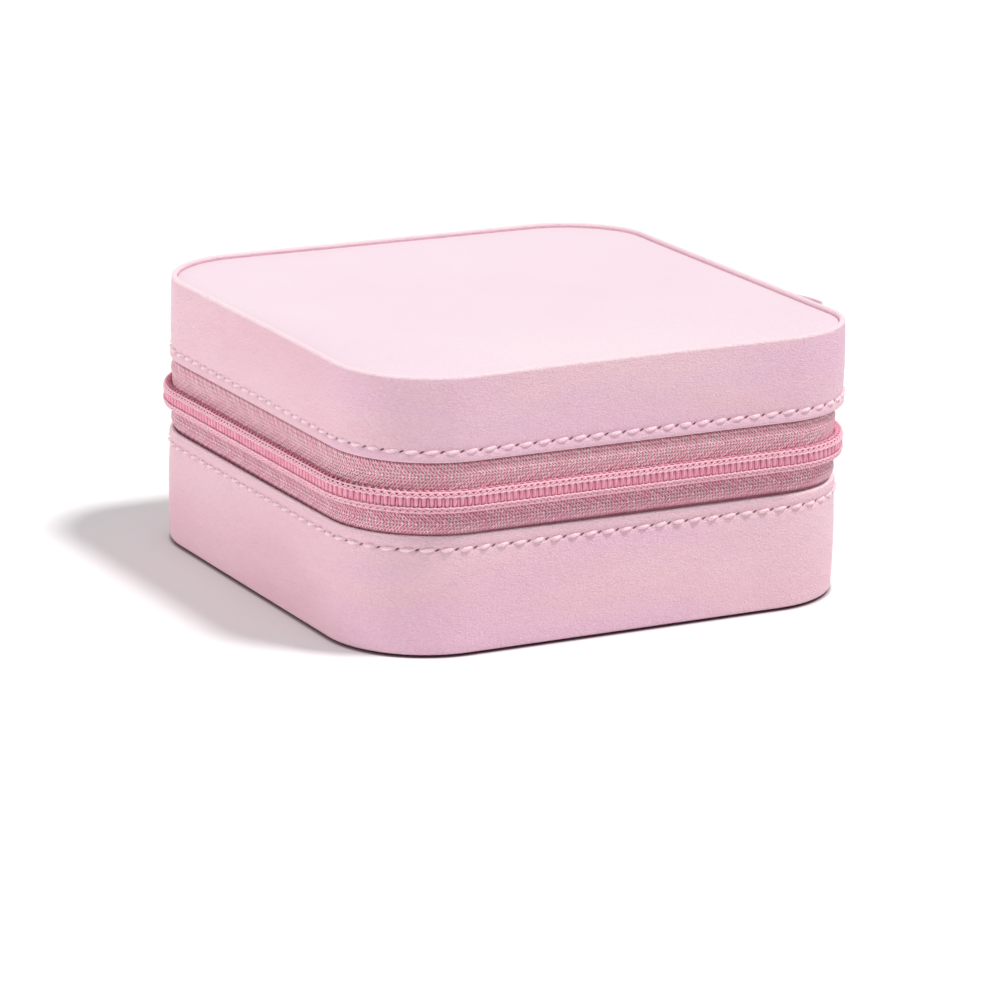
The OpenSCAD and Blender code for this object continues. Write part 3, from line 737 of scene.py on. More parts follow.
bands = {
    "foldRadius": 0.6,
    "turnedEdge": 4.2,
    "leather": 1.0,
    "puff": 0.10,        # swell of the strip between the edge and the stitches
    "puffReach": 0.7,
    "groove": 0.20,      # how far the stitches pull the leather in
    "grooveReach": 0.55,
    "nearStitches": 0.9, # from this far before the stitches the points lie a third of it apart
    "bulge": 0.20,       # swell of the padding behind the leather
    "lidFlare": 0.35,    # how far the lid's lower edge stands out
    "flareReach": 2.2,
    "lipRadius": 0.5,
    "footRadius": 0.6,
    "foot": 0.45,        # height of the lowest edge above the table
    "ripple": 0.10,      # waviness of the leather
    "slowWaves": (22, 120),   # how close the ripples are, along the wall and up it
    "fineWaves": (70, 160),
    "fineShare": 0.3,
    "inner": -0.9,       # what lies further in than this stays smooth
    "seed": 7,
}


def bandProfile(zipEdge, farEdge, farRadius, side, line, flare):
    fold = bands["foldRadius"]
    height = abs(farEdge - zipEdge)
    sewn = abs(line - zipEdge)

    def swell(h):
        pulled = bands["groove"] * math.exp(-((h - sewn) / bands["grooveReach"]) ** 2)
        puffed = bands["puff"] * math.exp(-((h - sewn * 0.5) / bands["puffReach"]) ** 2)
        padded = bands["bulge"] * math.sin(math.pi * min(max((h - sewn) / (height - sewn), 0), 1)) ** 0.8
        flared = flare * math.exp(-h / bands["flareReach"])
        return puffed + padded + flared - pulled

    inner = [(-2 * fold, bands["turnedEdge"]), (-2 * fold, 2.4)]
    turned = [(out + swell(h) * max(0, (out + fold) / fold), h) for out, h in
              ((-fold + fold * math.cos(math.radians(a)), fold - fold * math.sin(math.radians(a)))
               for a in range(180, -1, -18))]
    before = sewn - bands["nearStitches"]
    marks = [fold + (before - fold) * k / 2 for k in (1, 2)]
    marks += [before + bands["nearStitches"] / 3 * k for k in range(1, 8)]
    count = 9
    last = height - farRadius
    marks += [marks[-1] + (last - marks[-1]) * (k + 1) / count for k in range(count)]
    face = [(swell(h), h) for h in marks[:-1]]
    lip = [(out, h) for out, h in arc(-farRadius, last, farRadius, 0, 180, 10)]
    back = [(-2 * farRadius, last - 0.7), (-bands["leather"], last - 0.8),
            (-bands["leather"], bands["turnedEdge"] + 0.3)]
    return [(out, zipEdge + side * h) for out, h in inner + turned + face + lip + back]


def rippleWall(bm, amount):
    # pushes the outer face in and out a little, in long level waves
    alongLayer = bm.verts.layers.float.get("along")
    slow, slowUp = bands["slowWaves"]
    fine, fineUp = bands["fineWaves"]
    for vert in bm.verts:
        place, outward = wallPoint(vert[alongLayer])
        out = (vert.co / mm - place).dot(outward)
        if out < bands["inner"]:
            continue
        spot = Vector((vert.co.x * slow, vert.co.y * slow, vert.co.z * slowUp + bands["seed"]))
        fineSpot = Vector((vert.co.x * fine, vert.co.y * fine, vert.co.z * fineUp))
        push = noise.noise(spot) * amount + noise.noise(fineSpot) * amount * bands["fineShare"]
        vert.co += outward * push * mm


def makeBand(name, material, body, slot, node, profile):
    bm = sweepWall(profile)
    rippleWall(bm, bands["ripple"])
    settle(bm.verts)
    return dress(finishPiece(bm, name, material), body, slot, node)


makeBand("baseLeather", baseLeatherMaterial, "base", "leather_side", "base_band",
         bandProfile(shell["baseEdge"], bands["foot"], bands["footRadius"], -1, stitching["baseLine"], 0.0))
makeBand("lidLeather", lidLeatherMaterial, "lid", "leather_side", "lid_band",
         bandProfile(shell["lidEdge"], shell["height"], bands["lipRadius"], 1, stitching["lidLine"],
                     bands["lidFlare"]))
print("leather bands made")


def closeRings(bm, rim, heights):
    # fills a loop with rings that shrink towards the middle; heights rise from the rim
    cap = bmesh.ops.contextual_create(bm, geom=rim)["faces"][0]
    count = len(heights)
    for k, height in enumerate(heights):
        before = 1 - k / count
        after = 1 - (k + 1) / count if k < count - 1 else 0.02
        cap = bmesh.ops.extrude_discrete_faces(bm, faces=[cap])["faces"][0]
        bmesh.ops.scale(bm, vec=(after / before, after / before, 1), verts=cap.verts)
        for vert in cap.verts:
            vert.co.z = height * mm
    bmesh.ops.poke(bm, faces=[cap])


def makePanel(name, material, body, slot, node, panel):
    # a leather sheet of the case's outline with a soft edge and a crowned face
    depth, low, high, edge, crown = (panel[key] for key in ("inset", "low", "high", "edge", "crown"))
    profile = [(-depth - 3, low), (-depth - edge, low)] + arc(-depth - edge, low + edge, edge, -90, 0, 4)[1:]
    profile += arc(-depth - edge, high - edge, edge, 0, 90, 6)
    profile += [(-depth - edge - 0.8, high + crown * 0.12), (-depth - edge - 2, high + crown * 0.3)]
    bm = sweepWall(profile, closedProfile=False)
    rims = [item for item in bm.edges if item.is_boundary]
    lower = [item for item in rims if item.verts[0].co.z < (low + 0.01) * mm]
    upper = [item for item in rims if item not in lower]
    count = 12
    heights = [high + crown * (0.3 + 0.7 * math.sin(math.pi / 2 * (k + 1) / count)) for k in range(count)]
    closeRings(bm, upper, heights)
    bmesh.ops.contextual_create(bm, geom=lower)
    bmesh.ops.recalc_face_normals(bm, faces=bm.faces)
    settle(bm.verts)
    return dress(finishPiece(bm, name, material), body, slot, node)


topPanel = {
    "inset": 0.98,
    "low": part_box("lid_panel")[0].z / mm,
    "high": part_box("lid_panel")[1].z / mm - 0.1,
    "edge": 0.35,
    "crown": 0.85,     # how far the padding lifts the middle
}
bottomPanel = {"inset": 1.6, "low": 0.0, "high": 1.2, "edge": 0.3, "crown": 0.0}
makePanel("topPanel", topLeatherMaterial, "lid", "leather_top", "lid_panel", topPanel)
# the bottom panel carries the painted shade of the underside
makePanel("bottomPanel", undersideMaterial, "base", "leather_side", "base_bottom", bottomPanel)
print("panels made")

stitch = {
    "halfLength": 1.32,
    "radius": 0.36,
    "slant": 8,          # degrees off the line
    "slantSpread": 3,    # each stitch differs a little from the next
    "liftSpread": 0.05,
    "lengths": (0.94, 1.05),
    "dip": 0.42,         # how far the ends dive into their holes
    "out": 0.1,          # how far the middle of a stitch stands off the leather
    "flareOut": 0.08,    # more of it on the lid, whose edge flares
    "sunk": 0.25,        # how deep they lie in the spine, which has to fold flat at the hinge
    "sunkThin": 0.62,
    "seed": 11,
}


def addStitch(bm, matrix, halfLength, radius, dip):
    # one stitch: a drawn-out bead whose ends sink into the leather
    beads = bmesh.ops.create_uvsphere(bm, u_segments=6, v_segments=7, radius=1)["verts"]
    bmesh.ops.rotate(bm, verts=beads, cent=(0, 0, 0), matrix=Matrix.Rotation(math.pi / 2, 3, "X"))
    for vert in beads:
        reach = abs(vert.co.y)
        vert.co = Vector((vert.co.x * radius - dip * reach ** 3, vert.co.y * halfLength,
                          vert.co.z * radius * (1.15 - 0.25 * reach)))
    bmesh.ops.transform(bm, matrix=matrix, verts=beads)


def stitchMatrix(along, out, height, slant):
    return wallMatrix(along) @ Matrix.Translation((out, 0, height)) @ Matrix.Rotation(slant, 4, "X")


def makeStitches(name, body, height, out):
    # one row round the whole wall, over the spine at the back
    bm = bmesh.new()
    random.seed(stitch["seed"])
    for k in range(round(perimeter / stitching["pitch"])):
        along = (k + 0.5) * stitching["pitch"]
        fromBack = min(along, perimeter - along)
        slant = math.radians(stitch["slant"] + random.uniform(-stitch["slantSpread"], stitch["slantSpread"]))
        lift = random.uniform(-stitch["liftSpread"], stitch["liftSpread"])
        grow = random.uniform(*stitch["lengths"])
        if abs(fromBack - spineHalf) < 0.5 * stitching["pitch"]:
            continue   # the needle can't work in the step beside the spine
        layer, thin = out, 1
        if fromBack < spineHalf:
            layer, thin = spine["out"] + spine["thickness"] / 2 - stitch["sunk"], stitch["sunkThin"]
        addStitch(bm, stitchMatrix(along, layer + stitch["out"], height + lift, slant),
                  stitch["halfLength"] * grow, stitch["radius"] * thin / grow, stitch["dip"])
    settle(bm.verts)
    return dress(finishPiece(bm, name, stitchThreadMaterial, 80), body, "zip_tape")


spine = {
    "thickness": 1.0,
    "edge": 0.25,
    "out": 0.7,         # middle of the leather, out from the bands
    "low": 1.2,
    "top": -0.75,       # of its upper end, from the top of the lid's wall
    "corner": 0.95,     # how far one top corner lifts
    "cornerReach": 8,
    "cornerHeight": 6,  # how far below the top of the lid's wall that starts
    "cornerOut": 0.5,   # how far it leans back, as a share of the lift
    "sink": 0.18,       # it sinks a little over the zip
    "sinkReach": 4,
    "flare": 0.2,       # and stands out over the lid's lower edge
    "flareReach": 2.5,
    "ripple": 0.06,
    "bend": 4.0,        # height above and below the zip in which it bends
    "steps": 44,
}
makeStitches("lidStitches", "lid", stitching["lidLine"], stitch["flareOut"])
makeStitches("baseStitches", "base", stitching["baseLine"], 0)
print("stitches made")


def acrossHinge(piece):
    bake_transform(piece)


def settleSpine(bm):
    # one top corner lifts
    layer = bm.verts.layers.float.get("along")
    for vert in bm.verts:
        z = vert.co.z / mm
        fromEnd = spineHalf + vert[layer]
        lift = spine["corner"] * math.exp(-(fromEnd / spine["cornerReach"]) ** 2)
        rise = max(z - shell["height"] + spine["cornerHeight"], 0) / spine["cornerHeight"]
        vert.co.z += lift * rise ** 2 * mm
        vert.co.y += lift * spine["cornerOut"] * rise ** 3 * mm


def makeSpine():
    top = shell["height"] + spine["top"]
    middle = []
    for k in range(spine["steps"] + 1):
        height = spine["low"] + (top - spine["low"]) * k / spine["steps"]
        sink = spine["sink"] * math.exp(-((height - zipHeight) / spine["sinkReach"]) ** 2)
        flare = spine["flare"] * math.exp(-((height - shell["lidEdge"]) / spine["flareReach"]) ** 2)
        middle.append((spine["out"] - sink + flare, height))
    bm = sweepWall(stripProfile(middle, spine["thickness"]), -spineHalf, spineHalf)
    rippleWall(bm, spine["ripple"])
    settleSpine(bm)
    piece = finishPiece(bm, "hingeSpine", spineLeatherMaterial, 60)
    roundEdges(piece, spine["edge"])
    applyModifiers(piece)
    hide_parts("hinge_spine")
    acrossHinge(piece)


backing = {
    "out": -0.34,
    "thickness": 0.45,
    "steps": 18,
}


def makeBacking():
    low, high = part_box("spine_backing")
    tall = (high.z - low.z) / mm
    middle = [(backing["out"], low.z / mm + tall * k / backing["steps"]) for k in range(backing["steps"] + 1)]
    bm = sweepWall(stripProfile(middle, backing["thickness"]), low.x / mm, high.x / mm)
    piece = finishPiece(bm, "spineBacking", backingMaterial)
    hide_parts("spine_backing")
    acrossHinge(piece)


makeSpine()
makeBacking()
print("spine made")

zipTape = {
    "chainIn": -0.35,    # of the tape's face beside the chain, out from the leather's
    "thickness": 0.55,
    "edge": 0.3,         # from the centre line to the tape's edge
    "parted": 1.4,       # the same where the zip is open
    "bulge": 3.6,        # height from the centre line where it starts to slant in
    "slantEnd": shell["lidEdge"] - zipHeight,
    "depthFrom": 8.4,    # where it has reached its full depth
    "sewn": 15.1,
    "edgeDepth": 1.0,    # where it meets the folded leather
    "depth": 1.95,       # where it is sewn, behind it
    "tuck": 3.0,
    "sag": 0.5,          # how far the slanting part bellies out
    "slantSteps": 5,
    "waveFrom": 2.4,
    "wave": 0.35,
    "waveDensity": 0.06, # waves to the millimetre, about
    "spread": 0.6,       # how far the zip stands out beyond the side where the slider runs
    "drawnIn": 0.2,      # how far its last stretch lies in, so that the hinge line stays outside it
    "drawnLength": 22,
    "drawnEven": 6,      # how much of that stretch lies all the way in
    "openBehind": 26.1,  # the chain starts by the slider's tail, this far behind the middle of the -X side
    "chainGap": 0.6,     # from the chain's end to the spine
}
chainStart = leftSide + flat - zipTape["openBehind"]
chainEnd = perimeter - spineHalf - zipTape["chainGap"]


def zipSpread(along):
    # none on the slider's side, all of it from the middle of the next corner
    spread = zipTape["spread"] * ramp(along, leftSide + 2 * flat, leftSide + 2 * flat + bend / 2)
    drawn = ramp(along, chainEnd - zipTape["drawnLength"], chainEnd - zipTape["drawnEven"])
    return spread - (spread + zipTape["drawnIn"]) * drawn


def tapeProfile(side, edge):
    front, thick = zipTape["chainIn"], zipTape["thickness"]
    points = [(front, edge), (front, zipTape["waveFrom"] / 2), (front, zipTape["waveFrom"]),
              (front, zipTape["bulge"])]
    for k in range(1, zipTape["slantSteps"] + 1):
        share = k / zipTape["slantSteps"]
        out = front + (-zipTape["edgeDepth"] - front) * share
        h = zipTape["bulge"] + (zipTape["slantEnd"] - zipTape["bulge"]) * share
        points.append((out + zipTape["sag"] * math.sin(math.pi * share), h))
    points += [(-zipTape["depth"], zipTape["depthFrom"]), (-zipTape["depth"], zipTape["sewn"])]
    points += [(out - thick, h - 0.1 * (h > 2)) for out, h in reversed(points)]
    return [(out, zipHeight + side * h) for out, h in points]


def makeTapePiece(name, body, node, side):
    tuck = spineHalf - zipTape["tuck"]
    runs = [(tuck, leftSide, zipTape["edge"]), (leftSide, chainStart, zipTape["parted"]),
            (chainStart, perimeter - tuck, zipTape["edge"])]
    bm = bmesh.new()
    for start, end, edge in runs:
        run = sweepWall(tapeProfile(side, edge), start, end)
        mesh = bpy.data.meshes.new("run")
        run.to_mesh(mesh)
        run.free()
        bm.from_mesh(mesh)
        bpy.data.meshes.remove(mesh)
    alongLayer = bm.verts.layers.float.get("along")
    for vert in bm.verts:
        along = vert[alongLayer]
        fromZip = abs(vert.co.z / mm - zipHeight)
        vert.co += wallPoint(along)[1] * zipSpread(along) * mm
        if zipTape["waveFrom"] < fromZip < zipTape["slantEnd"]:
            share = (fromZip - zipTape["waveFrom"]) / (zipTape["slantEnd"] - zipTape["waveFrom"])
            spot = Vector((along * zipTape["waveDensity"], side * 3.1, 0))
            push = noise.noise(spot) * math.sin(math.pi * share)
            vert.co += wallPoint(along)[1] * push * zipTape["wave"] * mm
    return dress(finishPiece(bm, name, tapeMaterials[body]), body, "zip_tape", node)


makeTapePiece("baseTape", "base", "base_tape", -1)
makeTapePiece("lidTape", "lid", "lid_tape", 1)
print("tapes made")

coil = {
    "pitch": 1.25,
    "filament": 0.225,      # radius of the nylon
    "middle": 0.45,         # of a loop, out from the leather
    "loopRadius": 0.575,
    "head": -0.78,          # how far a loop reaches past the centre line
    "rear": 1.97,
    "legSwell": {"base": 1.2, "lid": 1.75},   # the nylon is pressed flat where the rows mesh
    "sink": {"base": 0.28, "lid": 0.14},      # how far the flattened part lies deeper
    "pressedFrom": 0.35,    # how far from the rear it is flattened
    "headFlat": 0.1,        # how much the head is squared
    "cordRadius": 0.36,     # of the cords that fill each row
    "cordHeights": (0.42, 1.1),
    "cordStep": 1.0,
    "thread": 0.15,
    "nearThread": (1.16, 1.0),   # out from the leather, and from the centre line
    "farThread": (0.92, 1.74),
    "zigzag": (1.12, 1.38),
    "zigzagReach": 0.28,
    "threadSteps": 4,       # places on the threads for each element
}
elementCount = math.floor((chainEnd - chainStart) / coil["pitch"])


def chainPlace(along, out, h, side):
    out += zipSpread(chainStart + along)
    return wallMatrix(chainStart + along) @ Vector((out, 0, zipHeight + side * h))


def firstElement(side):
    return 0.75 if side > 0 else 0.25   # the two rows are half a pitch apart


def coilPath(side, body):
    path = []
    middle, radius = coil["middle"], coil["loopRadius"]
    head, rear = coil["head"] + radius, coil["rear"] - radius
    swell, sink = coil["legSwell"][body], coil["sink"][body]
    pressed = middle + radius - sink
    for k in range(elementCount):
        at = (k + firstElement(side)) * coil["pitch"]
        loop = [(0.0, middle + radius, rear, 1.0), (0.0, pressed, rear - coil["pressedFrom"], swell),
                (0.0, pressed, (rear + head) / 2, swell), (0.0, pressed, head, swell)]
        for a in (45, 90, 135):
            loop.append((0.0, middle + (radius - sink) * math.cos(math.radians(a)),
                         head - (radius - coil["headFlat"]) * math.sin(math.radians(a)), swell))
        loop += [(0.0, middle - radius, head, 1.0), (0.0, middle - radius, rear, 1.0)]
        for a in (225, 270, 315):
            step = (a - 180) / 180 * coil["pitch"]
            loop.append((step, middle + radius * math.cos(math.radians(a)),
                         rear - radius * math.sin(math.radians(a)), 0.95))
        path += [(chainPlace(at + step, out, h, side), factor) for step, out, h, factor in loop]
    return path


def threadPaths(side):
    # each row is sewn down by two laid threads with a zigzag between them
    near, far, zigzag = [], [], []
    steps = coil["threadSteps"]
    for k in range(elementCount * steps):
        at = (k / steps + firstElement(side)) * coil["pitch"]
        turn = math.tau * k / steps
        swing, sway = math.cos(turn), math.sin(turn)
        out, h = coil["nearThread"]
        near.append((chainPlace(at, out + 0.07 * swing, h + 0.05 * sway, side), 1.15 + 0.3 * swing))
        out, h = coil["farThread"]
        far.append((chainPlace(at, out + 0.05 * swing, h, side), 1.2 + 0.15 * swing))
        out, h = coil["zigzag"]
        zigzag.append((chainPlace(at, out, h + coil["zigzagReach"] * swing, side), 0.9))
    return [near, far, zigzag]


def cordPaths(side):
    count = math.floor((chainEnd - chainStart) / coil["cordStep"])
    return [[(chainPlace(k * coil["cordStep"], coil["middle"], h, side), 1.0) for k in range(count + 1)]
            for h in coil["cordHeights"]]


for side, body in ((-1, "base"), (1, "lid")):
    piece = strands(body + "Coil", [coilPath(side, body)], coil["filament"], coilMaterial)
    dress(piece, body, "zip_coil", body + "_coil")
    piece = strands(body + "CoilThread", threadPaths(side), coil["thread"], zipThreadMaterial)
    dress(piece, body, "zip_tape")
    piece = strands(body + "CoilCord", cordPaths(side), coil["cordRadius"], cordMaterial)
    dress(piece, body, "zip_tape")
print("coils made")

lining = {
    "cloth": 0.45,
    "rimRadius": 1.15,
    "rimDepth": 3.6,      # of the middle of the rim, in from the leather
    "turnedDown": 5.0,    # how far the velvet goes down outside the rim
    "fillet": 1.2,
    "wallSteps": 8,
    "floorRings": 10,
    "wave": 0.12,
    "waves": 90,          # how close the waves of the cloth are
}


def makeLining(name, body, node, rim, floor):
    # velvet over the rim of the board, down its wall and over its floor
    side = 1 if rim > floor else -1
    radius, depth, fillet = lining["rimRadius"], lining["rimDepth"], lining["fillet"]
    outline = [(radius - depth, -radius - lining["turnedDown"] / k) for k in (1, 2)]
    outline += arc(-depth, -radius, radius, 0, 180, 8)
    height = abs(rim - floor)
    steps = lining["wallSteps"]
    outline += [(-depth - radius, -radius - (height - radius - fillet) * (k + 1) / steps)
                for k in range(steps)]
    outline += arc(-depth - radius - fillet, fillet - height, fillet, 0, -90, 4)[1:]
    bm = sweepWall([(out, rim + side * h) for out, h in outline], closedProfile=False)
    loop = [edge for edge in bm.edges if edge.is_boundary and abs(edge.verts[0].co.z / mm - floor) < 0.05]
    closeRings(bm, loop, [floor] * lining["floorRings"])
    bmesh.ops.recalc_face_normals(bm, faces=bm.faces)
    middle = min(bm.faces, key=lambda face: face.calc_center_median().xy.length)
    if middle.normal.z * side < 0:
        bmesh.ops.reverse_faces(bm, faces=bm.faces)
    bm.normal_update()
    for vert in bm.verts:
        vert.co += vert.normal * noise.noise(vert.co * lining["waves"]) * lining["wave"] * mm
    piece = finishPiece(bm, name, velvetMaterial)
    addModifier(piece, "SOLIDIFY", thickness=lining["cloth"] * mm, offset=-1, use_even_offset=False)
    applyModifiers(piece)
    return dress(piece, body, "velvet", node)


makeLining("baseLining", "base", "base_lining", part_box("base_lining")[1].z / mm,
           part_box("ring_bed")[0].z / mm)
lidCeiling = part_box("strap_roots")[1].z / mm
makeLining("lidLining", "lid", "lid_lining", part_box("lid_lining")[0].z / mm, lidCeiling)
softened("partition", "partitionBoard", velvetMaterial, 0.35, "base", "velvet")
softened("divider_front", "frontDivider", velvetMaterial, 0.3, "front_divider", "velvet")
softened("divider_back", "backDivider", velvetMaterial, 0.3, "back_divider", "velvet")
softened("ring_bed", "rollBed", velvetMaterial, 0.45, "base", "velvet")
print("linings made")

rolls = {
    "radius": 6.05,
    "rounding": 3.4,
    "pucker": 1.4,        # how deep the gathered middle of each end is
    "puckerRadius": 2.4,
    "voxel": 0.9,
    "pressure": 4.0,
    "frames": 20,
    "most": 0.35,         # furthest the stuffing pushes the cover
    "largest": 6.5,
    "enlarged": 10,       # the cover is filled at this scale
    "seamWidth": 0.5,
    "gathered": (1.4, 3),   # radius and depth of the gathered part of an end
    "turn": 17,           # degrees from one roll to the next
}


def rollCover(length):
    # a bar along x with round shoulders and ends gathered at the middle
    shoulder = [(rolls["pucker"], 0.0), (rolls["pucker"] * 0.8, 0.7), (rolls["pucker"] * 0.25, 1.7),
                (0.0, rolls["puckerRadius"])]
    reach = rolls["radius"] - rolls["puckerRadius"]
    for k in range(1, 6):
        a = math.pi / 2 * k / 5
        shoulder.append((rolls["rounding"] * (1 - math.cos(a)), rolls["puckerRadius"] + reach * math.sin(a)))
    outline = shoulder + [(length - x, r) for x, r in reversed(shoulder)]
    bm = spun([(x * mm, 0, r * mm) for x, r in outline], (1, 0, 0), 36)
    bmesh.ops.scale(bm, vec=(rolls["enlarged"],) * 3, verts=bm.verts)
    return bm


def fillRoll(piece):
    # presses the cover out from inside, held along its seam and at its gathered ends
    big = rolls["enlarged"] * mm
    before = [vert.co.copy() for vert in piece.data.vertices]
    group = piece.vertex_groups.new(name="held")
    ends = [min(co.x for co in before), max(co.x for co in before)]
    radius, depth = rolls["gathered"]
    for index, co in enumerate(before):
        fromEnd = min(co.x - ends[0], ends[1] - co.x)
        gathered = math.hypot(co.y, co.z) < radius * big and fromEnd < depth * big
        onSeam = co.z < 0 and abs(co.y) < rolls["seamWidth"] * big
        if gathered or onSeam:
            group.add([index], 1.0, "REPLACE")
    cloth = piece.modifiers.new("fill", "CLOTH")
    cloth.settings.vertex_group_mass = "held"
    cloth.settings.use_pressure = True
    cloth.settings.uniform_pressure_force = rolls["pressure"]
    cloth.settings.effector_weights.gravity = 0
    cloth.settings.quality = 5
    cloth.settings.bending_stiffness = 0.2
    cloth.point_cache.frame_start = 1
    cloth.point_cache.frame_end = rolls["frames"]
    for number in range(1, rolls["frames"] + 1):
        scene.frame_set(number)
    applyModifiers(piece)
    scene.frame_set(1)
    for vert, start in zip(piece.data.vertices, before):
        move = vert.co - start
        most = rolls["most"] * big
        if move.length > most:
            vert.co = start + move.normalized() * most


def makeRolls():
    low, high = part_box("ring_roll_1")
    piece = finishPiece(rollCover((high.x - low.x) / mm), "rollPattern", rollMaterial)
    voxel = rolls["voxel"] * rolls["enlarged"] * mm
    addModifier(piece, "REMESH", mode="VOXEL", voxel_size=voxel, adaptivity=0)
    applyModifiers(piece)
    fillRoll(piece)
    addModifier(piece, "SUBSURF", levels=1, render_levels=1)
    applyModifiers(piece)
    cover = piece.data
    bpy.data.objects.remove(piece)
    cover.shade_smooth()
    cover.transform(Matrix.Scale(1 / rolls["enlarged"], 4))
    for vert in cover.vertices:
        away = math.hypot(vert.co.y, vert.co.z)
        tight = min(1, rolls["largest"] * mm / max(away, mm))
        vert.co = (min(max(vert.co.x, 0), high.x - low.x), vert.co.y * tight, vert.co.z * tight)
    for k in range(1, 7):
        low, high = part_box("ring_roll_" + str(k))
        mesh = cover.copy()
        turned = Matrix.Rotation(math.radians(rolls["turn"] * (k % 3 - 1)), 4, "X")
        mesh.transform(Matrix.Translation((low.x, (low.y + high.y) / 2, (low.z + high.z) / 2)) @ turned)
        roll = addObject("ringRoll" + str(k), mesh)
        dress(roll, "base", "velvet", "ring_roll_" + str(k))


makeRolls()
print("ring rolls made")

strap = {
    "width": 9.0,
    "thickness": 1.0,
    "root": -43.3,       # y of the sewn end
    "foldFrom": -40.6,   # where it leaves the lid's ceiling
    "foldTo": -37.9,
    "tip": -20.0,
    "corner": 3.0,
    "sag": 0.12,
    "edge": 0.28,
}


def strapHeight(y):
    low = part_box("strap_middle")[0].z / mm + strap["thickness"] / 2
    high = lidCeiling - strap["thickness"] / 2
    return high + (low - high) * ramp(y, strap["foldFrom"], strap["foldTo"])


def makeStrap(name, node, middle):
    bm = bmesh.new()
    length = strap["tip"] - strap["root"]
    bmesh.ops.create_grid(bm, x_segments=10, y_segments=56, size=0.5)
    for vert in bm.verts:
        y = strap["root"] + (vert.co.y + 0.5) * length
        half = strap["width"] / 2
        fromTip = strap["tip"] - y
        if fromTip < strap["corner"]:
            rest = strap["corner"] - fromTip
            half += math.sqrt(max(strap["corner"] ** 2 - rest ** 2, 0)) - strap["corner"]
        share = min(max((y - strap["foldTo"]) / (strap["tip"] - strap["foldTo"]), 0), 1)
        x = vert.co.x * 2 * half
        vert.co = Vector((middle + x, y, strapHeight(y) - strap["sag"] * math.sin(math.pi * share))) * mm
    piece = finishPiece(bm, name, plainLeatherMaterial)
    addModifier(piece, "SOLIDIFY", thickness=strap["thickness"] * mm, offset=0)
    roundEdges(piece, strap["edge"])
    applyModifiers(piece)
    piece.data.shade_smooth()
    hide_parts(node)
    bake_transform(piece)


patch = {
    "size": (9.8, 3.0, 0.7),
    "middle": -41.9,     # y of its middle
    "edge": 0.22,
    "rows": (-0.85, 0.85),
    "stitches": (-3.2, 0, 3.2),
    "halfLength": 1.25,
    "thread": 0.26,
}


def makePatches():
    # a leather patch sewn over the root of each strap
    bm = bmesh.new()
    threads = bmesh.new()
    faceDown = Matrix.Rotation(math.pi / 2, 4, "Y") @ Matrix.Rotation(math.pi / 2, 4, "X")
    for middle in strapPlaces.values():
        tall = patch["size"][2]
        place = Vector((middle, patch["middle"], lidCeiling - strap["thickness"] - tall / 2))
        made = bmesh.ops.create_cube(bm, size=mm, matrix=Matrix.Translation(place * mm))["verts"]
        bmesh.ops.scale(bm, vec=patch["size"], space=Matrix.Translation(-place * mm), verts=made)
        for along in patch["stitches"]:
            for across in patch["rows"]:
                spot = place + Vector((along, across, -tall / 2 - 0.05))
                addStitch(threads, Matrix.Scale(mm, 4) @ Matrix.Translation(spot) @ faceDown,
                          patch["halfLength"], patch["thread"], 0.0)
    bmesh.ops.bevel(bm, geom=bm.edges[:], offset=patch["edge"] * mm, affect="EDGES", segments=2, profile=0.5,
                    material=-1)
    dress(finishPiece(bm, "strapPatches", plainLeatherMaterial, 60), "lid", "leather_top", "strap_roots")
    dress(finishPiece(threads, "strapStitches", stitchThreadMaterial, 80), "lid", "zip_tape")


snap = {
    "dome": [(0.0, 0.0), (1.2, 0.03), (2.3, 0.16), (3.1, 0.36), (3.7, 0.62), (3.98, 0.86), (3.9, 0.99)],
    "socketRadius": 2.4,
    "socketFrom": 1.0,
    "chamfer": 0.1,
    "hollowRadius": 1.65,
    "hollowFloor": 1.4,
}


def makeSnapCap(name, node, body):
    # a spun cap with a domed face and a rolled edge, and its socket
    low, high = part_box(node)
    tall = (high.z - low.z) / mm
    outer, inner, chamfer = snap["socketRadius"], snap["hollowRadius"], snap["chamfer"]
    outline = snap["dome"] + [(outer, snap["socketFrom"]), (outer, tall - chamfer), (outer - chamfer, tall),
                              (inner, tall), (inner, snap["hollowFloor"]), (0.0, snap["hollowFloor"])]
    bm = spun([(r * mm, 0, z * mm) for r, z in outline], (0, 0, 1), 48)
    bmesh.ops.translate(bm, vec=((low.x + high.x) / 2, (low.y + high.y) / 2, low.z), verts=bm.verts)
    dress(finishPiece(bm, name, metalMaterial, 35), body, "metal", node)


strapPlaces = {}
for place in ("left", "middle", "right"):
    low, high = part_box("strap_" + place)
    strapPlaces[place] = (low.x + high.x) / 2 / mm
    makeStrap(place + "Strap", "strap_" + place, strapPlaces[place])
    makeSnapCap(place + "SnapCap", "snap_cap_" + place, place + "_strap")
makePatches()
print("straps made")

pocket = {
    "cloth": 0.35,
    "columns": 200,
    "rows": 36,
    "corner": 12.3,
    "standOff": 3.6,       # from the ceiling, in the middle
    "edgeReach": 7.0,      # how far in from the sewn edge it rises
    "sewnGap": 0.25,       # from the ceiling, at the sewn edge
    "slack": 0.25,
    "pleat": 0.42,
    "pleatPitch": 3.1,
    "pleatReach": 13,      # how far back from the mouth the gathers fade
    "pleatWander": 1.3,
    "cut": (0.122, 0.046),
    "hemRadius": (1.0, 0.66),
    "hemSteps": 240,
    "hemPleat": 0.35,
    "seed": 4.2,
}


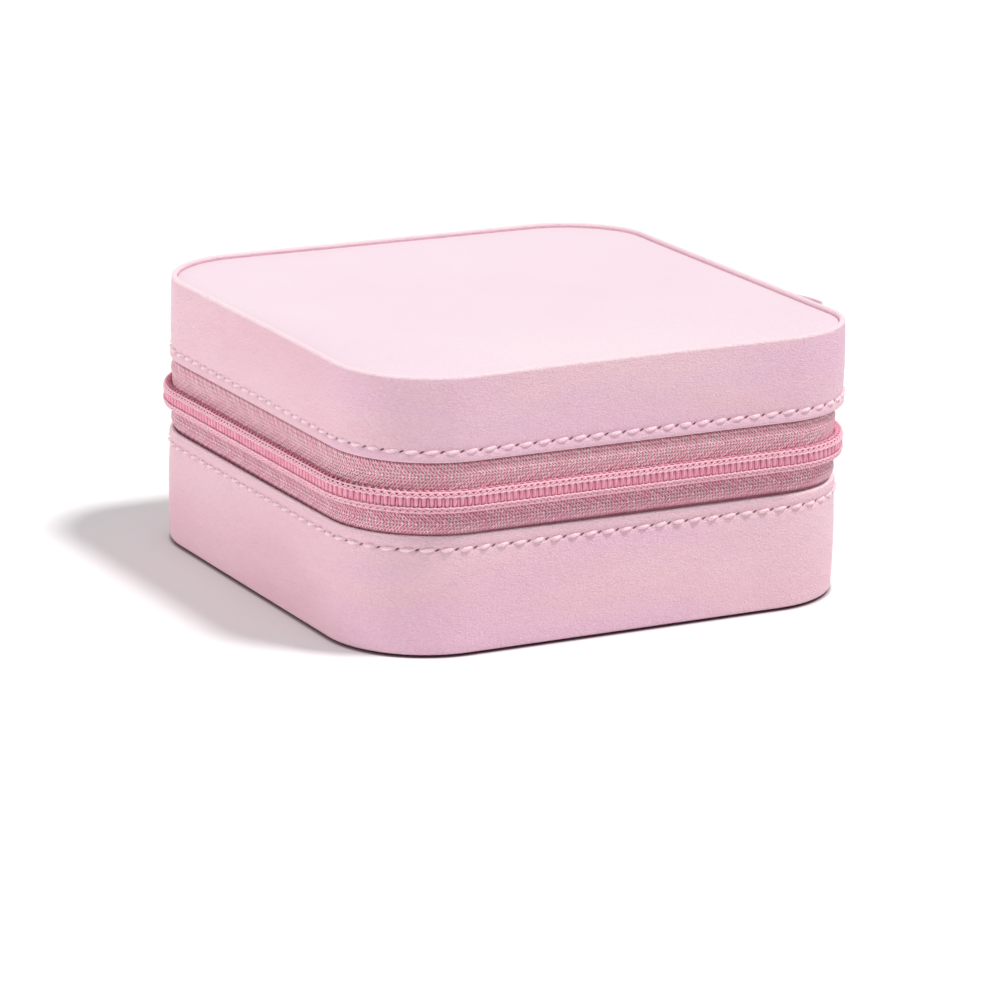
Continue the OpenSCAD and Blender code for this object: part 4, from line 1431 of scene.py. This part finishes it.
def pleatAt(x, y, mouth):
    # gathers that run back from the mouth and fade
    fade = math.exp(-max(y - mouth, 0) / pocket["pleatReach"])
    wander = pocket["pleatWander"] * noise.noise(Vector((x * 0.09, y * 0.05, pocket["seed"])))
    size = 0.75 + 0.5 * noise.noise(Vector((x * 0.2, 0.4, pocket["seed"])))
    return pocket["pleat"] * fade * size * math.sin(math.tau * (x / pocket["pleatPitch"] + wander))


def makePocket():
    low, high = (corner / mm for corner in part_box("lid_pocket"))
    mouth, back, half = low.y, high.y, high.x
    bm = bmesh.new()
    bmesh.ops.create_grid(bm, x_segments=pocket["columns"], y_segments=pocket["rows"], size=0.5)
    for vert in bm.verts:
        share = vert.co.y + 0.5
        y = mouth + (back - mouth) * share
        rest = max(y - (back - pocket["corner"]), 0)
        edge = half - pocket["corner"] + math.sqrt(max(pocket["corner"] ** 2 - rest ** 2, 0))
        x = vert.co.x * 2 * edge
        inside = min(edge - abs(x), back - y)
        rise = math.sin(math.pi / 2 * min(max(inside / pocket["edgeReach"], 0), 1)) ** 0.8
        soft = pocket["slack"] * noise.noise(Vector((x * 0.07, y * 0.07, pocket["seed"]))) * rise
        down = (pocket["standOff"] - pocket["sewnGap"]) * rise
        z = lidCeiling - pocket["sewnGap"] - down + soft + pleatAt(x, y, mouth) * min(rise * 1.5, 1)
        vert.co = Vector((x, y, max(z, low.z + 0.1))) * mm
    bmesh.ops.recalc_face_normals(bm, faces=bm.faces)
    area = sum(face.calc_area() for face in bm.faces)
    piece = finishPiece(bm, "lidPocket", clothMaterial)
    addModifier(piece, "SOLIDIFY", thickness=pocket["cloth"] * mm, offset=0)
    applyModifiers(piece)
    dress(piece, "lid", "pocket_cloth", "lid_pocket")
    hem = makeHem(mouth, low.z)
    print("pocket cloth", round(area * 1e6), "mm2 of", round(pocket["cut"][0] * pocket["cut"][1] * 1e6))


def makeHem(mouth, bottom):
    # the rolled hem with elastic in it
    low, high = (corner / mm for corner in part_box("pocket_hem"))
    bm = bmesh.new()
    bmesh.ops.create_cone(bm, segments=10, radius1=1, radius2=1, depth=high.x - low.x, cap_ends=True,
                          cap_tris=False)
    lengthwise = [edge for edge in bm.edges if abs(edge.verts[0].co.z - edge.verts[1].co.z) > 1]
    bmesh.ops.subdivide_edges(bm, edges=lengthwise, cuts=pocket["hemSteps"], use_grid_fill=True)
    wide, tall = pocket["hemRadius"]
    for vert in bm.verts:
        x = vert.co.z
        ripple = pleatAt(x, mouth, mouth)
        squeeze = 1 + pocket["hemPleat"] * ripple
        y = (low.y + high.y) / 2 + vert.co.x * wide * 0.95
        z = (low.z + high.z) / 2 + vert.co.y * tall * squeeze + ripple * pocket["hemPleat"]
        vert.co = Vector((x, y, max(z, bottom))) * mm
    bmesh.ops.recalc_face_normals(bm, faces=bm.faces)
    return dress(finishPiece(bm, "pocketHem", clothMaterial), "lid", "pocket_cloth", "pocket_hem")


makePocket()
print("pocket made")

softened("slider_body", "sliderBody", metalMaterial, 0.12, "slider", "metal")
softened("pull_tab", "pullTab", metalMaterial, 0.16, "pull", "metal")
softened("base_stop", "baseStop", metalMaterial, 0.15, "base", "metal")
softened("lid_stop", "lidStop", metalMaterial, 0.15, "lid", "metal")
print("metal parts made")

for name, material in (
        ("base_board", boardMaterial), ("lid_board", boardMaterial), ("base_padding", foamMaterial),
        ("lid_padding", foamMaterial), ("lid_foam", foamMaterial), ("snap_studs", metalMaterial)):
    nodes[name].data.materials.clear()
    nodes[name].data.materials.append(material)

stage = {
    "floorSize": 3.0,
    "floorFill": 0.05,         # lifts the floor to white where the camera sees it
    "contact": 0.006,          # how near the case that lift fades out
    "floorTone": (0.9, 0.9, 0.9, 1),
    "contactShadowReach": 0.001,            # how near the case the painted contact shadow is darkest
    "contactShadowTone": srgb(120, 66, 88),
    "worldStrength": 0.485,
    "sunFrom": (0.29, 0.345, 1.0),
    "sunSpread": 9,            # degrees
    "sunStrength": 2.06,
    "fillPlace": (-0.35, -1.2, 0.28),
    "fillSize": 0.7,
    "fillPower": 4.9,
    "fillAim": (0, 0, 0.03),
}


def seenByCamera(tree):
    # 1 for the camera's own rays, and for those that shiny or clear surfaces pass on
    path = addNode(tree, "LightPath")
    seen = calc(tree, "ADD", path.outputs["Is Camera Ray"], path.outputs["Is Glossy Ray"])
    return calc(tree, "ADD", seen, path.outputs["Is Transmission Ray"], clamp=True)


def makeFloor():
    bm = bmesh.new()
    bmesh.ops.create_grid(bm, x_segments=1, y_segments=1, size=stage["floorSize"])
    material, tree, shader = newMaterial("floor", Roughness=0.9, Specular_IOR_Level=0.1)
    # painted contact shadow: the floor is painted darker where the case meets the table than a soft lamp
    # leaves it
    contactShadowMask = addNode(tree, "AmbientOcclusion", Distance=stage["contactShadowReach"]).outputs["AO"]
    shade = mixColor(tree, rangeOf(tree, contactShadowMask, 0.3, 0.95), stage["contactShadowTone"], stage["floorTone"])
    feed(tree, shader, Base_Color=shade)
    near = addNode(tree, "AmbientOcclusion", Distance=stage["contact"]).outputs["AO"]
    lift = calc(tree, "MULTIPLY", calc(tree, "MULTIPLY", seenByCamera(tree), near), stage["floorFill"])
    glow = addNode(tree, "Emission", Color=(1, 1, 1, 1), Strength=lift)
    both = addNode(tree, "AddShader", i0=shader.outputs[0], i1=glow.outputs[0])
    feed(tree, tree.nodes["Material Output"], Surface=both.outputs[0])
    finishPiece(bm, "floor", material)


def makeWorld():
    world = bpy.data.worlds.new("studio")
    scene.world = world
    world.use_nodes = True
    tree = world.node_tree
    dimmed = 1.0 - stage["worldStrength"]
    strength = calc(tree, "MULTIPLY_ADD", seenByCamera(tree), dimmed, stage["worldStrength"])
    feed(tree, tree.nodes["Background"], Color=(1, 1, 1, 1), Strength=strength)


def addFill():
    light = bpy.data.lights.new("fill", "AREA")
    light.shape = "DISK"
    light.size = stage["fillSize"]
    light.energy = stage["fillPower"]
    lamp = addObject("fill", light)
    lamp.location = stage["fillPlace"]
    toCase = Vector(stage["fillAim"]) - Vector(stage["fillPlace"])
    lamp.rotation_euler = toCase.to_track_quat("-Z", "Y").to_euler()


def addSun():
    light = bpy.data.lights.new("sun", "SUN")
    light.energy = stage["sunStrength"]
    light.angle = math.radians(stage["sunSpread"])
    lamp = addObject("sun", light)
    lamp.rotation_euler = (-Vector(stage["sunFrom"])).to_track_quat("-Z", "Y").to_euler()


view = {
    "aim": (0.16, 0.30, 11.63),
    "azimuth": 61.78,
    "elevation": 15.71,
    "roll": 1.01,
    "distance": 902.6,
    "lens": 174.84,
    "sensor": 36,
    "clip": (0.05, 20),
}


def makeCamera():
    camera = bpy.data.cameras.new("camera")
    camera.lens = view["lens"]
    camera.sensor_width = view["sensor"]
    camera.clip_start, camera.clip_end = view["clip"]
    holder = addObject("camera", camera)
    a, e = math.radians(view["azimuth"]), math.radians(view["elevation"])
    back = Vector((math.sin(a) * math.cos(e), -math.cos(a) * math.cos(e), math.sin(e)))
    holder.location = (Vector(view["aim"]) + back * view["distance"]) * mm
    turn = (-back).to_track_quat("-Z", "Y").to_matrix() @ Matrix.Rotation(math.radians(view["roll"]), 3, "Z")
    holder.rotation_euler = turn.to_euler()
    scene.camera = holder


makeFloor()
makeWorld()
addSun()
addFill()
makeCamera()
scene.view_settings.view_transform = "Standard"
print("stage made")
